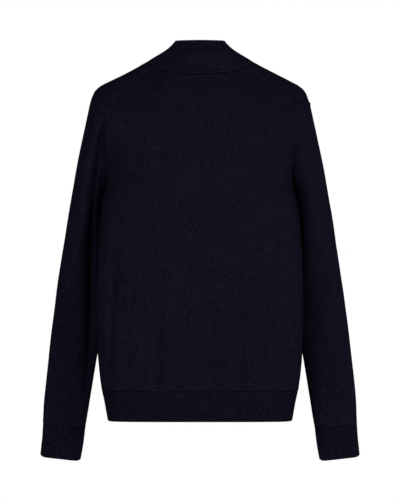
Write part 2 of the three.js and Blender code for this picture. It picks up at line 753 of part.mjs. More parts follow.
// A box set in the slider's frame: x across, y out from the chest, z up along the zip.
const box = (width, out, up, x, y, z) => new THREE.BoxGeometry(width, out, up).translate(x, y, z);
const rod = (radius, length, sides = 20) =>
  new THREE.CylinderGeometry(radius, radius, length, sides).rotateZ(Math.PI / 2);

// The slider: a plate before and behind the chain, a bridge above it, and two lugs with a pin that
// carry the pull tab.
const PIN = { out: 2.9, drop: 1.4, radius: 0.7, inset: 0.1 };
const LUG = { half: 2.7, thick: 0.9, height: 3.2, past: 0.8 }; // past the pin, and into the plate
function sliderGeometry() {
  const { width, plate, bridge, bridgeWidth, thick } = SLIDER;
  const front = CHAIN_THICK / 2 + SEAM_GAP + thick / 2;
  const middle = -plate / 2;
  const plates = [front, -front].map((y) => box(width, thick, plate + bridge, 0, y, middle + bridge / 2));
  const bridgeBox = box(bridgeWidth, 2 * front, bridge, 0, 0, bridge / 2);
  const pinY = front + thick / 2 + PIN.out;
  const pinZ = -PIN.drop;
  const lugs = [1, -1].map((side) => {
    const x = side * (LUG.half - LUG.thick / 2);
    return box(LUG.thick, PIN.out + 2 * LUG.past, LUG.height, x, pinY - PIN.out / 2, pinZ);
  });
  const pin = rod(PIN.radius, 2 * (LUG.half - PIN.inset)).translate(0, pinY, pinZ);
  const solids = [...plates, bridgeBox, ...lugs, pin].map(solidOf);
  return { geometry: geometryOf(solids.reduce((sum, s) => sum.add(s))), pinY, pinZ };
}

// The pull tab hangs from the pin: an eye, a stem and a flat grip with a slot.
const EYE = { inner: 1.05, outer: 2.1, width: 2.9, sides: 18 };
const TAB = { width: 6.4, thick: 1.2, stem: 3, flare: 4, shoulder: 1, slotWidth: 2.6, slotLength: 9 };
function tabGeometry() {
  const shape = new THREE.Shape();
  const half = TAB.width / 2;
  const neck = EYE.width / 2;
  const root = -(EYE.inner + EYE.outer) / 2;
  const stemEnd = -EYE.outer - TAB.stem;
  shape.moveTo(-neck, root);
  shape.lineTo(-neck, stemEnd);
  shape.quadraticCurveTo(-half, stemEnd - TAB.shoulder, -half, stemEnd - TAB.flare);
  shape.lineTo(-half, -TAB_LENGTH + half);
  shape.absarc(0, -TAB_LENGTH + half, half, Math.PI, 2 * Math.PI, false);
  shape.lineTo(half, stemEnd - TAB.flare);
  shape.quadraticCurveTo(half, stemEnd - TAB.shoulder, neck, stemEnd);
  shape.lineTo(neck, root);
  const slot = new THREE.Path();
  const slotHalf = TAB.slotWidth / 2;
  const slotLow = -TAB_LENGTH + half;
  slot.moveTo(slotHalf, slotLow);
  slot.lineTo(slotHalf, slotLow + TAB.slotLength);
  slot.absarc(0, slotLow + TAB.slotLength, slotHalf, 0, Math.PI, false);
  slot.lineTo(-slotHalf, slotLow);
  slot.absarc(0, slotLow, slotHalf, Math.PI, 2 * Math.PI, false);
  shape.holes.push(slot);
  const plate = new THREE.ExtrudeGeometry(shape, { depth: TAB.thick, bevelEnabled: false, curveSegments: 6 });
  // The shape is drawn in X and Y, and its Y becomes the tab's length along -Z.
  plate.translate(0, 0, -TAB.thick / 2).rotateX(Math.PI / 2);
  const upright = solidOf(plate);
  const eye = solidOf(rod(EYE.outer, EYE.width, EYE.sides)).subtract(solidOf(rod(EYE.inner, EYE.width + 1, EYE.sides)));
  const hole = solidOf(rod(EYE.inner, EYE.width + 1, EYE.sides));
  return geometryOf(upright.add(eye).subtract(hole));
}

// The slider's frame sits on the chain's middle, just under the collar's top edge.
const top = zipLine[0];
const sliderPlace = top.at
  .clone()
  .addScaledVector(top.down, SLIDER.below + SLIDER.bridge)
  .addScaledVector(top.out, -(top.depth + CHAIN_FRONT + CHAIN_THICK / 2));
const sliderFrame = new THREE.Group();
sliderFrame.position.copy(sliderPlace);
// The frame's +Y is the zip's outward direction and its +Z runs up the zip.
const up = top.down.clone().negate();
const across = new THREE.Vector3().crossVectors(top.out, up);
sliderFrame.quaternion.setFromRotationMatrix(new THREE.Matrix4().makeBasis(across, top.out, up));
const slider = sliderGeometry();
const sliderMesh = add("zip_slider", slider.geometry, "metal");
const tabMesh = add("zip_pull_tab", tabGeometry(), "metal");
sliderFrame.add(sliderMesh);

// At rest the tab leans in until its foot lies just off the chain.
const TAB_LEAN = rad(7.5);
const tabFrame = new THREE.Group();
tabFrame.position.set(0, slider.pinY, slider.pinZ);
tabFrame.rotation.x = -TAB_LEAN;
tabFrame.add(tabMesh);
sliderFrame.add(tabFrame);
sweater.add(sliderFrame);

export default sweater;
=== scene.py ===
"""A quarter-zip sweater in fine navy wool, filled out as if worn, seen square from behind.

The cloth's form is worked out in millimetres from the same sections as the solids, at a finer step,
and becomes metres when a mesh is made. The chest faces -Y, the back +Y, and +X is the wearer's left.
"""
import math

import bpy
import numpy as np
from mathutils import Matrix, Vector, kdtree


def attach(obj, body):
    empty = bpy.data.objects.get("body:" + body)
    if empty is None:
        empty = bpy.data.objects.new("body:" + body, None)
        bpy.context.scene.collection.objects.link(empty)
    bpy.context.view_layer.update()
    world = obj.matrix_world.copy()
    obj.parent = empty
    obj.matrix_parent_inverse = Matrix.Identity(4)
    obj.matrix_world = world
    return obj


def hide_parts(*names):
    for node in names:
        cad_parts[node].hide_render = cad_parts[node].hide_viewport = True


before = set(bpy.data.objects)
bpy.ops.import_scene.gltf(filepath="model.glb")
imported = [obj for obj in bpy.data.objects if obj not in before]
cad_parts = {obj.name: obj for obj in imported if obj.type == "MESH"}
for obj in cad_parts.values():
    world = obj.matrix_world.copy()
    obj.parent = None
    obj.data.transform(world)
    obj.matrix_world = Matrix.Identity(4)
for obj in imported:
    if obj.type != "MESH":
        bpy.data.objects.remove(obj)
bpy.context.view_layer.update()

MM = 0.001

# Walls and seams
JERSEY = 1.6
BAND = 2.4
COLLAR = 3.0
SEAM_GAP = 0.3
OPPOSED = 0.5
LEAST_LEAN = 0.6

# Zip
SLIT_HALF = 4.5
CHAIN_HALF = 2.6
CHAIN_THICK = 2.2
CHAIN_FRONT = -0.9
TAPE_EDGE = 16
TAPE_THICK = 1.0
STOP_LENGTH = 5
SLIDER_REACH = 5.3  # from the collar's edge down to where the teeth start

# How finely the cloth is drawn
STEP = 3.4  # between rows, and between columns of the plain knit
RIB_STEP = 0.65
EDGE_STEPS = (0, 0.8, 1.8, 3.2)  # distances of the first columns from a seam
TORSO_SAMPLES = 2601
ROW_SAMPLES = 241
COLUMN_SAMPLES = 401
SLIT_SAMPLES = 601
NECK_SAMPLES = 200
SLIT_WITHIN = 0.6  # the slit's edges lie within this share of a row
SEWN_WITHIN = 2.2  # points of two cloths this near are sewn together
TINY = 1e-6


def table(columns, rows):
    """A table as one array for each named column."""
    return dict(zip(columns, np.array(rows, float).T))


TORSO = table(
    ["z", "half_width", "widest_y", "back_y", "front_y"],
    [
        [-675.7, 173.5, 8, 97, -98],
        [-655.2, 176.9, 10, 99.5, -100.5],
        [-636.4, 180.1, 12, 102, -103],
        [-618.5, 183.9, 14, 104.5, -105.5],
        [-598.8, 187, 16, 107, -108],
        [-580, 189, 18, 108.5, -109.5],
        [-542.4, 191.6, 22, 109.5, -110.5],
        [-487, 193.4, 25, 110, -111.5],
        [-435, 193.6, 25, 110.5, -113],
        [-388, 192.3, 22, 111, -114.5],
        [-341, 190, 17, 111.5, -115.5],
        [-298, 186.8, 11, 112, -116],
        [-270, 183.8, 5.5, 112, -116],
        [-250, 181, 0, 112, -116],
    ],
)
HEM_SEAM = 3
TORSO_END = 13
HEM_CORNER = 4.5
HEM_CORNER_POWER = 10

SLEEVE = table(
    ["ridge_x", "ridge_z", "seam_x", "seam_z", "centre_y", "half_depth", "stop"],
    [
        [98.7, 0, 88, -11, 0, 34, 50],
        [121.4, -12.2, 110, -25, 0, 42, 48],
        [146, -24.9, 132, -40, 0, 53, 44],
        [170, -37.3, 150.5, -57, 1, 64, 38],
        [187, -46.6, 162, -74, 1, 72, 30],
        [197.6, -57, 169.5, -92, 2, 77, 20],
        [204.2, -72, 173, -112, 2, 80, 8],
        [209.6, -93, 174.5, -134, 2, 81, -6],
        [215.5, -120, 174.5, -158, 2, 80, -20],
        [223.6, -159, 174.7, -186, 2, 78, -36],
        [231, -195, 175.6, -212, 1.5, 76, -52],
        [236.6, -224, 178, -234, 1, 73.5, -70],
        [240.3, -245, 181, -250, 0, 71, -90],
        [248, -291, 184.5, -298, -12, 66, -90],
        [254.8, -334, 186, -341, -22, 60.5, -90],
        [262.3, -380, 187, -388, -31, 54.5, -90],
        [269.5, -427, 187, -435, -38.5, 48.5, -90],
        [276.5, -478, 187, -487, -43.5, 42.5, -90],
        [281, -516, 189.5, -525, -45.5, 38, -90],
        [285.6, -556, 196.2, -566, -46, 33.5, -90],
        [290.8, -603, 203.8, -612, -45, 29, -90],
        [294.5, -645, 210.6, -654, -43, 24.5, -90],
        [296.3, -683.4, 216.6, -691, -41, 21, -90],
        [297.4, -705, 219, -713, -40, 19.5, -90],
        [299.8, -729, 222.5, -737, -40, 18, -90],
        [301.2, -744.5, 225.4, -753, -40, 16.5, -90],
    ],
)
UNDERARM = 12
CUFF_SEAM = 22
CUFF_END = 25
CUFF_CORNER = 4
CUFF_CORNER_POWER = 12
SLEEVE_CLEAR = 0.9
SLEEVE_SQUARE = {1: 0.5, -1: 0.38}  # left and right: 1 is round, and less is flatter behind and before

BACK = table(
    ["y", "z", "sweep"],
    [
        [54, -24.4, 62], [64, -40, 48], [75, -58, 48], [84, -76, 49], [91, -94, 50], [97, -111, 51],
        [102, -129, 52], [106, -147, 54], [109, -166, 57], [111, -186, 61], [112, -207, 68],
        [112, -229, 80], [112, -250, 90],
    ],
)
FRONT = table(
    ["y", "z", "sweep"],
    [
        [-84, -86, 80], [-91, -100, 70], [-97, -113, 62], [-102, -127, 57], [-106, -141, 54],
        [-109.5, -154, 53], [-112, -168, 53], [-114, -182, 54], [-115, -196, 57], [-116, -210, 61],
        [-116, -224, 68], [-116, -237, 79], [-116, -250, 90],
    ],
)
SQUARE = {1: 0.52, -1: 0.8}  # back and chest: 1 is round, and less is flatter with tighter corners

BODY_FOLDS = [
    # side, top x, top z, foot x, foot z, width, depth
    (1, 158, -360, 168, -580, 8, 10),
    (1, 160, -205, 158, -430, 16, 5),
    (1, 137, -450, 137, -600, 10, 3.4),
    (1, 73, -400, 80, -612, 8, 8.5),
    (1, -26, -430, -23, -610, 8, 5.5),
    (1, -75, -450, -73, -610, 8, 6),
    (1, -152, -235, -154, -420, 14, 7),
    (1, -98, -280, -94, -410, 13, 5.5),
    (1, -108, -480, -106, -606, 9, 4.5),
    (1, -160, -470, -157, -606, 11, 5),
    (-1, 128, -400, 140, -590, 18, 4),
    (-1, 62, -470, 66, -606, 16, 3),
    (-1, -70, -455, -76, -606, 16, 3.2),
    (-1, -136, -420, -146, -596, 18, 3.6),
]
FOLD_TOP = 6
LEFT_FOLD = table(
    ["x", "width", "depth", "swell"],
    [
        [177, 5, 3, -1], [181, 5.5, 12, -6], [187, 6, 20, -12], [192, 6.5, 26, -15], [196.5, 7, 29, -16],
        [199, 7.5, 30, -16], [200.5, 8, 31, -15], [202.5, 8, 31, -14], [204, 8, 31, -13],
        [205.5, 8, 30, -12], [206.5, 8, 28, -10], [207.5, 8, 25, -8], [208.5, 8, 21, -6],
        [210.5, 8, 14, -4], [214, 7, 5, -1], [218, 6, 0, 0],
    ],
)
FOLD_COLUMN = 0.84
FOLD_POINTED = 1.15  # 2 is a rounded trough, and 1 comes to a sharp line at its bottom
SWELL_PART = 0.4
FOLD_MARGIN = 0.06
SLEEVE_FOLDS = [
    # side, top row, end row, top share, end share, width, depth
    (1, 10, 20, 0.16, 0.15, 0.06, 5),
    (-1, 9, 14.5, 0.73, 0.7, 0.05, 3),
    (-1, 10.5, 20, 0.17, 0.14, 0.06, 5),
]

COLLAR_TOP = {"half_width": 46, "middle_y": -10, "back_y": 34, "front_y": -60, "z": 40, "front_drop": 54}
COLLAR_LEVEL_FROM = math.radians(100)
COLLAR_SAG = 4
SAG_SKEW = 1.6
COLLAR_BUCKLES = [(0.17, 0.07, 5.5), (0.42, 0.13, -2.5), (0.8, 0.12, 10)]
BUCKLE_REACH = 58.8
BUCKLE_FADE = 42


def bell(x):
    return np.exp(-x * x)


def fade(x):
    t = np.clip(x, 0, 1)
    return t * t * (3 - 2 * t)


def lerp(a, b, t):
    return a + (b - a) * t


def unit(v):
    return v / np.maximum(np.linalg.norm(v, axis=-1, keepdims=True), 1e-12)


def run_of(line):
    """The length of a line up to each of its points."""
    return np.concatenate([[0], np.linalg.norm(np.diff(line, axis=0), axis=1).cumsum()])


def points_at(at, run, line):
    return np.stack([np.interp(at, run, line[:, k]) for k in range(3)], -1)


def along(rows, name, at):
    """A column of a table at row numbers between its rows, on a smooth curve that never overshoots."""
    values = rows[name]
    at = np.asarray(at, float)
    i = np.clip(np.floor(at).astype(int), 0, len(values) - 2)
    t = np.clip(at - i, 0, 1)
    rise = np.diff(values)
    before = np.concatenate([rise[:1], rise])
    after = np.concatenate([rise, rise[-1:]])
    turning = before * after <= 0
    slope = np.where(turning, 0, 2 * before * after / np.where(turning, 1, before + after))
    t2 = t * t
    t3 = t2 * t
    return (
        values[i] * (2 * t3 - 3 * t2 + 1)
        + slope[i] * (t3 - 2 * t2 + t)
        + values[i + 1] * (3 * t2 - 2 * t3)
        + slope[i + 1] * (t3 - t2)
    )


DENSE_ROWS = np.linspace(0, TORSO_END, TORSO_SAMPLES)
DENSE_Z = along(TORSO, "z", DENSE_ROWS)


def torso_reach(y, z):
    """Half the torso's width at a depth and height."""
    row = np.interp(z, DENSE_Z, DENSE_ROWS)
    widest = along(TORSO, "widest_y", row)
    edge = np.where(y > widest, along(TORSO, "back_y", row), along(TORSO, "front_y", row))
    share = np.clip((y - widest) / (edge - widest), 0, 1)
    power = np.where(y > widest, 2 / SQUARE[1], 2 / SQUARE[-1])
    return along(TORSO, "half_width", row) * (1 - share**power) ** (1 / power)


def share_at_x(row, x):
    """The share of the way round a sleeve, behind its ridge, at which it has this x."""
    stop = np.radians(along(SLEEVE, "stop", row))
    seam_x = along(SLEEVE, "seam_x", row)
    out = (x - seam_x) / (along(SLEEVE, "ridge_x", row) - seam_x)
    angle = np.arcsin(np.clip(lerp(np.sin(stop), 1, out), -1, 1))
    return 1 - (angle - stop) / (math.pi - 2 * stop)


def fold_share(row):
    """Where the left sleeve's deep fold lies round the sleeve."""
    end = FOLD_TOP + len(LEFT_FOLD["x"]) - 1
    held = np.clip(row, FOLD_TOP, end)
    share = share_at_x(held, along(LEFT_FOLD, "x", held - FOLD_TOP))
    swing = fade((row - FOLD_TOP / 2) / (FOLD_TOP / 2))
    return np.where(row < FOLD_TOP, lerp(FOLD_COLUMN, share, swing), share)


def sleeve_fold(side, row, share, x):
    """How far the sleeve's folds move a point in towards its middle."""
    depth = np.zeros(np.broadcast_shapes(row.shape, share.shape))
    for hand, top_row, end_row, top_share, end_share, width, deep in SLEEVE_FOLDS:
        if hand != side:
            continue
        t = (row - top_row) / (end_row - top_row)
        length = fade(t / 0.25) * fade((1 - t) / 0.3)
        depth = depth + deep * length * bell((share - lerp(top_share, end_share, np.clip(t, 0, 1))) / width)
    depth = depth * fade(np.minimum(share, 1 - share) / FOLD_MARGIN)
    if side > 0:
        at = row - FOLD_TOP
        from_line = np.abs(x - along(LEFT_FOLD, "x", at)) / along(LEFT_FOLD, "width", at)
        trough = along(LEFT_FOLD, "depth", at) * np.exp(-(from_line**FOLD_POINTED))
        inner = 1 - fold_share(row)
        width = inner * SWELL_PART
        swell = along(LEFT_FOLD, "swell", at) * bell((1 - share - inner / 2) / width)
        swell = swell * fade((1 - share) / width)
        depth = depth + np.where((share > 0.5) & (row > FOLD_TOP), trough - swell, 0)
    return depth


def sleeve_points(side, row, share):
    """Points on a sleeve: share runs from the front seam (0) over the ridge (0.5) to the back seam (1)."""
    row = np.asarray(row, float)[:, None]
    stop = np.radians(along(SLEEVE, "stop", row))
    angle = stop + (math.pi - 2 * stop) * (1 - share)
    out = (np.sin(angle) - np.sin(stop)) / (1 - np.sin(stop))
    x = lerp(along(SLEEVE, "seam_x", row), along(SLEEVE, "ridge_x", row), out)
    power = lerp(1, SLEEVE_SQUARE[side], fade((row - UNDERARM) / 3))
    across = np.sign(np.cos(angle)) * np.abs(np.cos(angle)) ** power
    y = along(SLEEVE, "centre_y", row) + across * along(SLEEVE, "half_depth", row)
    z = lerp(along(SLEEVE, "seam_z", row), along(SLEEVE, "ridge_z", row), out)
    y = y - np.sign(np.round(np.cos(angle), 9)) * sleeve_fold(side, row, share, x)
    end = np.clip((row - CUFF_SEAM) / (CUFF_END - CUFF_SEAM), 0, 1)
    z = z + CUFF_CORNER * end * np.abs(2 * out - 1) ** CUFF_CORNER_POWER
    beside = (row > UNDERARM) & (z > TORSO["z"][0])
    x = np.where(beside, np.maximum(x, torso_reach(y, z) + SLEEVE_CLEAR * fade(row - UNDERARM)), x)
    return np.stack([x * side, y, z], -1)


def body_fold(side, x, z):
    """How deep the torso's folds are at points of the back (side 1) or the chest (side -1)."""
    depth = np.zeros_like(x)
    for face, top_x, top_z, foot_x, foot_z, width, deep in BODY_FOLDS:
        if face != side:
            continue
        t = (z - top_z) / (foot_z - top_z)
        length = fade(t / 0.6) * fade((1.06 - t) / 0.12)
        depth += deep * length * bell((x - lerp(top_x, foot_x, np.clip(t, 0, 1))) / width)
    return depth


def torso_points(side, row, share):
    """Points of the torso below the underarm: share runs from -1 to 1 between its side seams."""
    row = np.asarray(row, float)[:, None]
    widest = along(TORSO, "widest_y", row)
    out_y = along(TORSO, "back_y" if side > 0 else "front_y", row)
    angle = np.radians(90 * share)
    x = along(TORSO, "half_width", row) * np.sign(share) * np.abs(np.sin(angle)) ** SQUARE[side]
    y = lerp(widest, out_y, np.abs(np.cos(angle)) ** SQUARE[side])
    z = along(TORSO, "z", row) + np.zeros_like(share)
    edge = np.abs(share)
    y = y - side * body_fold(side, x, z) * fade((1 - edge) / 0.12)
    z = z + HEM_CORNER * np.clip(1 - row / HEM_SEAM, 0, 1) * edge**HEM_CORNER_POWER
    return np.stack([x, y, z], -1)


def yoke_points(side, row, share):
    """Points between the armholes, or under the collar where row is 0."""
    middle = BACK if side > 0 else FRONT
    seam = np.full((len(row), 1), 1.0 if side > 0 else 0.0)
    left = sleeve_points(1, row, seam)
    right = sleeve_points(-1, row, seam)
    row = np.asarray(row, float)[:, None]
    end = np.where((share > 0)[..., None], left, right)
    power = lerp(1, SQUARE[side], row / UNDERARM)
    sweep = np.radians(along(middle, "sweep", row))
    cos_end = np.abs(np.cos(sweep)) ** power
    angle = sweep * np.abs(share)
    across = (np.sin(angle) / np.sin(sweep)) ** power
    inward = (np.abs(np.cos(angle)) ** power - cos_end) / (1 - cos_end)
    return np.stack(
        [
            end[..., 0] * across,
            lerp(end[..., 1], along(middle, "y", row), inward),
            lerp(end[..., 2], along(middle, "z", row), inward),
        ],
        -1,
    )


def body_points(side, row, share):
    """Points of a whole body piece. row runs up from the hem's edge (0) over the underarm to the collar."""
    low = row <= TORSO_END
    points = np.empty(share.shape + (3,))
    points[low] = torso_points(side, row[low], share[low])
    points[~low] = yoke_points(side, TORSO_END + UNDERARM - row[~low], share[~low])
    return points


def slit_share(side, row, x=SLIT_HALF):
    """The share at which a row of the body is this far from the middle."""
    shares = np.linspace(0, SLIT_WITHIN, SLIT_SAMPLES)[None].repeat(len(row), 0)
    reach = np.abs(body_points(side, row, shares)[..., 0])
    return np.array([np.interp(x, r, s) for r, s in zip(reach, shares)])


def places(total, step):
    """Shares of a length: fine at its seams and even between, the same number for every row."""
    count = max(4, int(round(total.max() / step)))
    edge = np.array(EDGE_STEPS, float)
    even = np.linspace(0, 1, count + 1)[1:-1]
    rows = []
    for length in total:
        first = edge / length
        last = 1 - edge[::-1] / length
        rows.append(np.concatenate([first, lerp(first[-1], last[0], even), last]))
    return np.array(rows)


def lay_out(section, rows, start, end, step):
    """Shares between start and end for each row, spaced by the length of the cloth."""
    coarse = lerp(start[:, None], end[:, None], np.linspace(0, 1, ROW_SAMPLES)[None])
    points = section(rows, coarse)
    run = np.array([run_of(line) for line in points])
    at = places(run[:, -1], step) * run[:, -1:]
    return np.array([np.interp(a, r, c) for a, r, c in zip(at, run, coarse)])


def even_rows(section, first, last, step):
    """Row numbers from first to last, spaced by the length of a middle column, fine at both ends."""
    dense = np.linspace(first, last, COLUMN_SAMPLES)
    run = run_of(section(dense))
    return np.interp(places(run[-1:], step)[0] * run[-1], run, dense)


class Cloth:
    """A sheet of cloth as a grid of points, before it becomes a wall."""

    def __init__(
        self, name, points, thickness, cells=None, welded=None,
        round_first=False, round_last=False, facing=None,
    ):
        rows, columns = points.shape[:2]
        self.name, self.thickness = name, thickness
        self.shape = (rows, columns)
        self.points = points
        index = np.arange(rows * columns).reshape(rows, columns)
        self.weld = index.copy()
        if welded is not None:
            self.weld[welded, -1] = self.weld[welded, 0]
        self.weld = self.weld.ravel()
        keep = np.ones((rows - 1, columns - 1), bool) if cells is None else cells
        corners = np.stack([index[:-1, :-1], index[:-1, 1:], index[1:, 1:], index[1:, :-1]], -1)
        self.corners = corners[keep]
        self.ends = (round_first, round_last)
        self.orient(facing)

    def flat(self):
        return self.points.reshape(-1, 3)

    def orient(self, facing):
        """Turns the faces to look the given way, or else away from the middle of their rows."""
        flat = self.flat()
        a, b, c, d = (flat[self.corners[:, k]] for k in range(4))
        normals = np.cross(c - a, d - b)
        middle = self.points.mean(1)[self.corners[:, 0] // self.shape[1]]
        way = a - middle if facing is None else np.broadcast_to(facing, a.shape)
        if np.einsum("ij,ij->i", normals, way).sum() < 0:
            self.corners = self.corners[:, ::-1]

    def normals(self):
        """The direction in which each point faces, welded points alike."""
        flat = self.flat()
        quads = self.weld[self.corners]
        a, b, c, d = (flat[quads[:, k]] for k in range(4))
        face = np.cross(c - a, d - b)
        total = np.zeros_like(flat)
        for k in range(4):
            np.add.at(total, quads[:, k], face)
        return unit(total[self.weld])

    def shift(self, amount):
        """Moves the cloth out along its normals by an amount given for each point of the grid."""
        moved = self.flat() + self.normals() * amount.reshape(-1, 1)
        self.points = moved[self.weld].reshape(self.points.shape)

    def runs(self):
        """The length of cloth along each row and along each column, from the first point."""
        across = np.linalg.norm(np.diff(self.points, axis=1), axis=2).cumsum(1)
        up = np.linalg.norm(np.diff(self.points, axis=0), axis=2).cumsum(0)
        across = np.concatenate([np.zeros((self.shape[0], 1)), across], 1)
        up = np.concatenate([np.zeros((1, self.shape[1])), up], 0)
        return across, up

    def border(self):
        """The directed edges at the cloth's border, between welded points."""
        quads = self.weld[self.corners]
        edges = np.concatenate([quads[:, [k, (k + 1) % 4]] for k in range(4)])
        size = self.weld.size
        there = edges[:, 0] * size + edges[:, 1]
        back = edges[:, 1] * size + edges[:, 0]
        return edges[~np.isin(there, back)]


def share_normals(cloths):
    """Normals for each cloth, averaged at its border with those of the cloths sewn to it."""
    own = [cloth.normals() for cloth in cloths]
    borders = [np.unique(cloth.border()) for cloth in cloths]
    tree = kdtree.KDTree(sum(len(b) for b in borders))
    owners = []
    for n, (cloth, border) in enumerate(zip(cloths, borders)):
        for v in border:
            tree.insert(Vector(cloth.flat()[v]), len(owners))
            owners.append((n, v))
    tree.balance()
    shared = []
    for n, (cloth, border) in enumerate(zip(cloths, borders)):
        result = own[n].copy()
        for v in border:
            near = {}
            for _, entry, distance in tree.find_range(Vector(cloth.flat()[v]), SEWN_WITHIN):
                other, w = owners[entry]
                if other != n and (other not in near or distance < near[other][0]):
                    near[other] = (distance, own[other][w])
            way = own[n][v]
            total = way + sum((m for _, m in near.values() if m @ way > OPPOSED), np.zeros(3))
            direction = total / np.linalg.norm(total)
            result[v] = direction / max(direction @ way, LEAST_LEAN)
        shared.append(result[cloth.weld])
    return shared


ROUND_STEPS = 4


def wall(cloth, normals, relief, uv):
    """The closed wall of a cloth as vertices, faces and the UV of each face corner.

    The outer side stands out by relief, the border is drawn back by half the seam gap, and the free
    edges are rounded.
    """
    rows, columns = cloth.shape
    base = cloth.points.copy()
    half = cloth.thickness / 2
    bulge = np.zeros((rows, columns, 3))
    for is_round, edge, inner in ((cloth.ends[0], 0, 1), (cloth.ends[1], -1, -2)):
        way = unit(base[edge] - base[inner])
        back = half if is_round else SEAM_GAP / 2
        base[edge] -= way * back
        if is_round:
            bulge[edge] = way * half
    seamed = cloth.weld.reshape(rows, columns)[:, 0] != cloth.weld.reshape(rows, columns)[:, -1]
    for edge, inner in ((0, 1), (-1, -2)):
        way = unit(base[:, edge] - base[:, inner])
        base[seamed, edge] -= (way * SEAM_GAP / 2)[seamed]
    base = base.reshape(-1, 3)[cloth.weld]
    bulge = bulge.reshape(-1, 3)[cloth.weld]
    outer = base + normals * relief.reshape(-1, 1)
    inner = base - normals * cloth.thickness
    size = len(base)
    quads = cloth.weld[cloth.corners]
    edges = cloth.border()
    rings = [outer]
    for k in range(1, ROUND_STEPS):
        turn = math.pi * k / ROUND_STEPS
        middle = lerp(outer, inner, (1 - math.cos(turn)) / 2)
        rings.append(middle + bulge * math.sin(turn))
    rings.append(inner)
    faces = [quads, quads[:, ::-1] + size * ROUND_STEPS]
    corner_uv = [uv[cloth.corners], uv[cloth.corners[:, ::-1]]]
    a, b = edges[:, 0], edges[:, 1]
    for k in range(ROUND_STEPS):
        faces.append(np.stack([b + size * k, a + size * k, a + size * (k + 1), b + size * (k + 1)], -1))
        corner_uv.append(np.stack([uv[b], uv[a], uv[a], uv[b]], 1))
    faces = np.concatenate(faces)
    used, packed = np.unique(faces, return_inverse=True)
    points = np.concatenate(rings)[used]
    return points, packed.reshape(faces.shape), np.concatenate(corner_uv)


def placed(name, data):
    """A new object in the scene for a mesh, a camera or a lamp."""
    obj = bpy.data.objects.new(name, data)
    bpy.context.scene.collection.objects.link(obj)
    return obj


def new_object(name, points, faces, corner_uv=None, smooth=True):
    """A mesh object from points in millimetres and faces that all have the same number of corners."""
    mesh = bpy.data.meshes.new(name)
    corners = faces.shape[1]
    mesh.vertices.add(len(points))
    mesh.vertices.foreach_set("co", (points * MM).astype(np.float32).ravel())
    mesh.loops.add(faces.size)
    mesh.loops.foreach_set("vertex_index", faces.astype(np.int32).ravel())
    mesh.polygons.add(len(faces))
    mesh.polygons.foreach_set("loop_start", np.arange(0, faces.size, corners, dtype=np.int32))
    mesh.polygons.foreach_set("use_smooth", np.full(len(faces), smooth))
    if corner_uv is not None:
        layer = mesh.uv_layers.new(name="Cloth")
        layer.data.foreach_set("uv", (corner_uv * MM).astype(np.float32).ravel())
    mesh.update(calc_edges=True)
    mesh.validate()
    return placed(name, mesh)


WAVES = 12
WAVE_ACROSS = (38, 95)  # least and greatest length
WAVE_UP = (110, 320)
PUCKERS = 5
PUCKER_ACROSS = (8, 17)
BODY_WAVE = 0.45
SLEEVE_WAVE = 0.4
PUCKER_HEIGHT = 0.3
CALM = 14  # no undulation at a seam, and all of it this far away
BAND_CALM = 10  # the same above a band
SEEDS = {  # of the undulation and of the gathers
    "back_knit": (11, 21),
    "front_knit": (12, 22),
    "sleeve_left_knit": (31, 41),
    "sleeve_right_knit": (32, 42),
}


def undulation(seed, u, v, height):
    """Soft unevenness of hanging cloth, longer up and down than across."""
    draw = np.random.default_rng(seed)
    total = np.zeros_like(u)
    for _ in range(WAVES):
        across = 2 * math.pi / draw.uniform(*WAVE_ACROSS)
        up = 2 * math.pi / draw.uniform(*WAVE_UP) * draw.choice([-1, 1])
        total += np.sin(across * u + up * v + draw.uniform(0, 2 * math.pi))
    return height * total / math.sqrt(WAVES / 2)


def gathers(seed, u, height):
    """Tiny puckers beside a seam that draws the cloth in."""
    draw = np.random.default_rng(seed)
    total = np.zeros_like(u)
    for _ in range(PUCKERS):
        total += np.sin(2 * math.pi / draw.uniform(*PUCKER_ACROSS) * u + draw.uniform(0, 2 * math.pi))
    return height * total / math.sqrt(PUCKERS / 2)


SEAM_DIP = 0.45
SEAM_WIDTH = 1.5


def seam_dips(*distances):
    """How the cloth sinks at its seams, given how far off each of them is."""
    return sum(-SEAM_DIP * bell(distance / SEAM_WIDTH) for distance in distances)


def edge_distances(cloth):
    """How far each point is along its row and its column from the four edges of the grid."""
    across, up = cloth.runs()
    return across, across[:, -1:] - across, up, up[-1:] - up


# Rows of the grids
BODY_TOP = TORSO_END + UNDERARM


def middle_back(rows):
    return body_points(1, rows, np.zeros((len(rows), 1)))[:, 0]


def armhole_back(rows):
    return sleeve_points(1, rows, np.full((len(rows), 1), 1.0))[:, 0]


def sleeve_ridge(rows):
    return sleeve_points(1, rows, np.full((len(rows), 1), 0.5))[:, 0]


yoke_rows = even_rows(armhole_back, 0, UNDERARM, STEP)
low_rows = even_rows(middle_back, HEM_SEAM, TORSO_END, STEP)
body_rows = np.concatenate([low_rows[:-4], [TORSO_END], (BODY_TOP - yoke_rows[::-1])[1:]])
hem_rows = even_rows(middle_back, 0, HEM_SEAM, STEP)
sleeve_low_rows = even_rows(sleeve_ridge, UNDERARM, CUFF_SEAM, STEP)
sleeve_rows = np.concatenate([yoke_rows, sleeve_low_rows[4:]])
cuff_rows = even_rows(sleeve_ridge, CUFF_SEAM, CUFF_END, STEP)


def body_shares(side, rows, step):
    """Shares for a body piece, from the wearer's right seam to the left. The chest has the slit's edges."""
    one = np.ones(len(rows))
    section = lambda r, s: body_points(side, r, s)
    if side > 0:
        return lay_out(section, rows, -one, one, step)
    slit = slit_share(side, rows)
    left = lay_out(section, rows, slit, one, step)
    right = lay_out(section, rows, -one, -slit, step)
    return np.concatenate([right, (-slit / 3)[:, None], (slit / 3)[:, None], left], 1)


